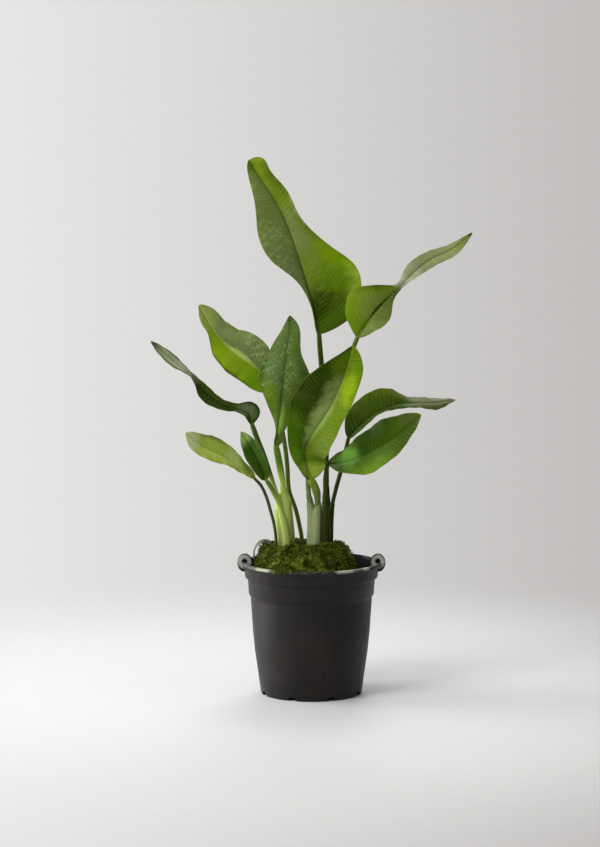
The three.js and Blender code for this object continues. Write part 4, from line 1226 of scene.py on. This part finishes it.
def make_sprigs(name, material, roots, rise):
    """Moss sprigs: bent stems from the given roots, with small leaves along them."""
    count, lengths, shades, leaflets = SPRIGS[name]
    picks = chance.integers(0, len(roots), count)
    root = roots[picks] + chance.normal(0, 0.8, (count, 3)) * np.array([1, 1, 0.2])
    way = unit(rise[picks] + chance.normal(0, 0.55, (count, 3)))
    length = chance.uniform(*lengths, count)
    droop = np.array([0, 0, -1.0]) * (length * chance.uniform(0.05, 0.3, count))[:, None]
    tone = chance.uniform(*shades, count)
    parts = []
    shade = []

    def stem_at(t):
        return root + way * (length * t)[:, None] + droop * (t * t)

    def add(foot, tip, width, tones):
        parts.append(spindles(foot, tip, width))
        shade.append(np.repeat(tones, 5))

    for k in range(SPRIG_STEPS):
        low = max(k / SPRIG_STEPS - 0.06, 0)
        add(stem_at(low), stem_at((k + 1) / SPRIG_STEPS), np.full(count, SPRIG_WIDTH), tone * 0.8)
    for k in range(leaflets):
        t = (k + 1.5) / (leaflets + 1.5)
        foot = stem_at(t)
        out = unit(way * 0.6 + chance.normal(0, 0.8, (count, 3)))
        long = chance.uniform(*LEAFLET_LENGTH, count) * (1.15 - 0.5 * t)
        tones = np.clip(tone + chance.normal(0, 0.12, count), 0, 1)
        add(foot, foot + out * long[:, None], long * LEAFLET_SLIMNESS, tones)
    points, faces = joined(parts)
    make_piece(name, points, faces, [material], shade=np.concatenate(shade))


def make_moss():
    green = moss_material("moss_green", "1d2604", "526010", "8c943a")
    brown = moss_material("moss_brown", "2c2810", "54502a", "7c7448")
    make_mound(green)
    share = np.sqrt(chance.uniform(0.02, 1.0, ROOT_COUNT))
    x, y = moss_place(share, chance.uniform(0, TURN, ROOT_COUNT))
    roots = np.stack([x, y, moss_top(x, y, share) - 3.0], -1)
    outward = np.stack([x - MOSS_CENTRE[0], y - MOSS_CENTRE[1], np.zeros_like(x)], -1)
    steep = smooth(share, 0.6, 1.0)[:, None]
    rise = unit(np.array([0, 0, 1.0]) + unit(outward) * (0.25 + 1.3 * steep))
    make_sprigs("moss_sprigs_dark", green, roots, rise)
    make_sprigs("moss_sprigs_light", green, roots, rise)
    make_sprigs("moss_fibres", brown, roots, rise)
    x = chance.uniform(*SPILL_X, SPILL_COUNT)
    y = chance.uniform(*SPILL_Y, SPILL_COUNT)
    spill = np.stack([x, y, POT_HEIGHT - 2 + 3 * np.exp(-(((x + 12) / 30) ** 2))], -1)
    lean = chance.normal(0, 0.3, (SPILL_COUNT, 3)) * np.array([1, 0.3, 0.5])
    make_sprigs("moss_sprigs_rim", green, spill, unit(np.array([0, -1.0, 0.5]) + lean))


def make_curl():
    """A dry, curled strip of an old leaf that stands in the moss on the left."""
    route = spline(CURL_ROUTE, np.linspace(0, 1, CURL_ROWS))
    _, front, side = frames_along(route, CURL_FACING)
    width = CURL_HALF_WIDTH * np.sin(np.linspace(0.25, math.pi - 0.2, CURL_ROWS)) + 1.0
    across = np.linspace(-1, 1, CURL_COLUMNS)
    curl = CURL_BEND * (1 - across**2)
    front = front[:, None]
    aside = side[:, None] * (width[:, None] * across)[..., None]
    middle = route[:, None] + aside + front * curl[None, :, None]
    half = front * (CURL_THICKNESS / 2)
    rings = np.concatenate([middle + half, (middle - half)[:, ::-1]], axis=1)
    faces = tube_faces(CURL_ROWS, 2 * CURL_COLUMNS)
    make_piece("dry_curl", rings.reshape(-1, 3), faces, [dry_material()])


# Studio

def make_floor():
    g = new_graph("studio_floor")
    place = g.place()
    x, y, _ = g.parts(place)
    base = g.mix(g.noise(place, 3.0, 2.0), "cbcccb", "c6c7c6")
    surface = g.value("BsdfPrincipled", {"Base Color": base, "Roughness": 0.6, "Specular IOR Level": 0.2})
    clear = g.value("BsdfTransparent")
    faded = g.value("MixShader", {0: g.span(g.length(x, y), *FLOOR_FADE), 1: surface, 2: clear})
    g.node("OutputMaterial", {"Surface": faded})
    rim = [(FLOOR_RADIUS * x, FLOOR_RADIUS * y, 0) for x, y in circle(around(FLOOR_SIDES))]
    mesh = make_mesh("floor", rim, [range(FLOOR_SIDES)])
    mesh.materials.append(g.owner)
    floor = add_object("floor", mesh)


def make_light(name, place, aim, size, power, tint):
    lamp = bpy.data.lights.new(name, "AREA")
    lamp.shape = "DISK"
    lamp.size = size
    lamp.energy = power
    lamp.color = tint
    holder = add_object(name, lamp)
    holder.location = place
    x, y, z = np.array(aim, float) - np.array(place, float)
    holder.rotation_euler = (math.atan2(math.hypot(x, y), -z), 0, math.atan2(x, -y) + math.pi)


def make_world():
    world = bpy.data.worlds.new("studio")
    bpy.context.scene.world = world
    g = Graph(world)
    aside = g.parts(g.value("TexCoord", None, "Generated"))[0]
    wall = g.node("ValToRGB", {0: aside * 0.5 + 0.5})
    stops = wall.color_ramp.elements
    for _ in WALL_STOPS[2:]:
        stops.new(0.5)
    for stop, (place, tone) in zip(stops, WALL_STOPS):
        stop.position = 0.5 + 0.5 * place
        stop.color = (*tone, 1)
    back = g.value("Background", {"Color": Value(g, wall.outputs[0])})
    g.node("OutputWorld", {"Surface": back})


def make_camera():
    data = bpy.data.cameras.new("camera")
    data.sensor_width = SENSOR
    data.lens = FOCAL_PIXELS * SENSOR / IMAGE_HEIGHT
    data.clip_end = 60
    camera = add_object("camera", data)
    camera.location = (CAMERA_SHIFT * MM, -CAMERA_DISTANCE * MM, CAMERA_HEIGHT * MM)
    camera.rotation_euler = (math.radians(90 - CAMERA_PITCH), 0, 0)
    bpy.context.scene.camera = camera


make_camera()
make_world()
make_floor()
for light_name, light in LIGHTS.items():
    make_light(light_name, *light)
for leaf_name, leaf_shape in LEAVES.items():
    make_leaf(leaf_name, leaf_shape)
for stalk_name, stalk_looks in STALK_LOOKS.items():
    make_stalk(stalk_name, stalk_looks)
make_pot()
make_soil()
make_moss()
make_curl()

bpy.context.scene.view_settings.view_transform = "Standard"
bpy.context.scene.view_settings.look = "None"
bpy.context.view_layer.update()
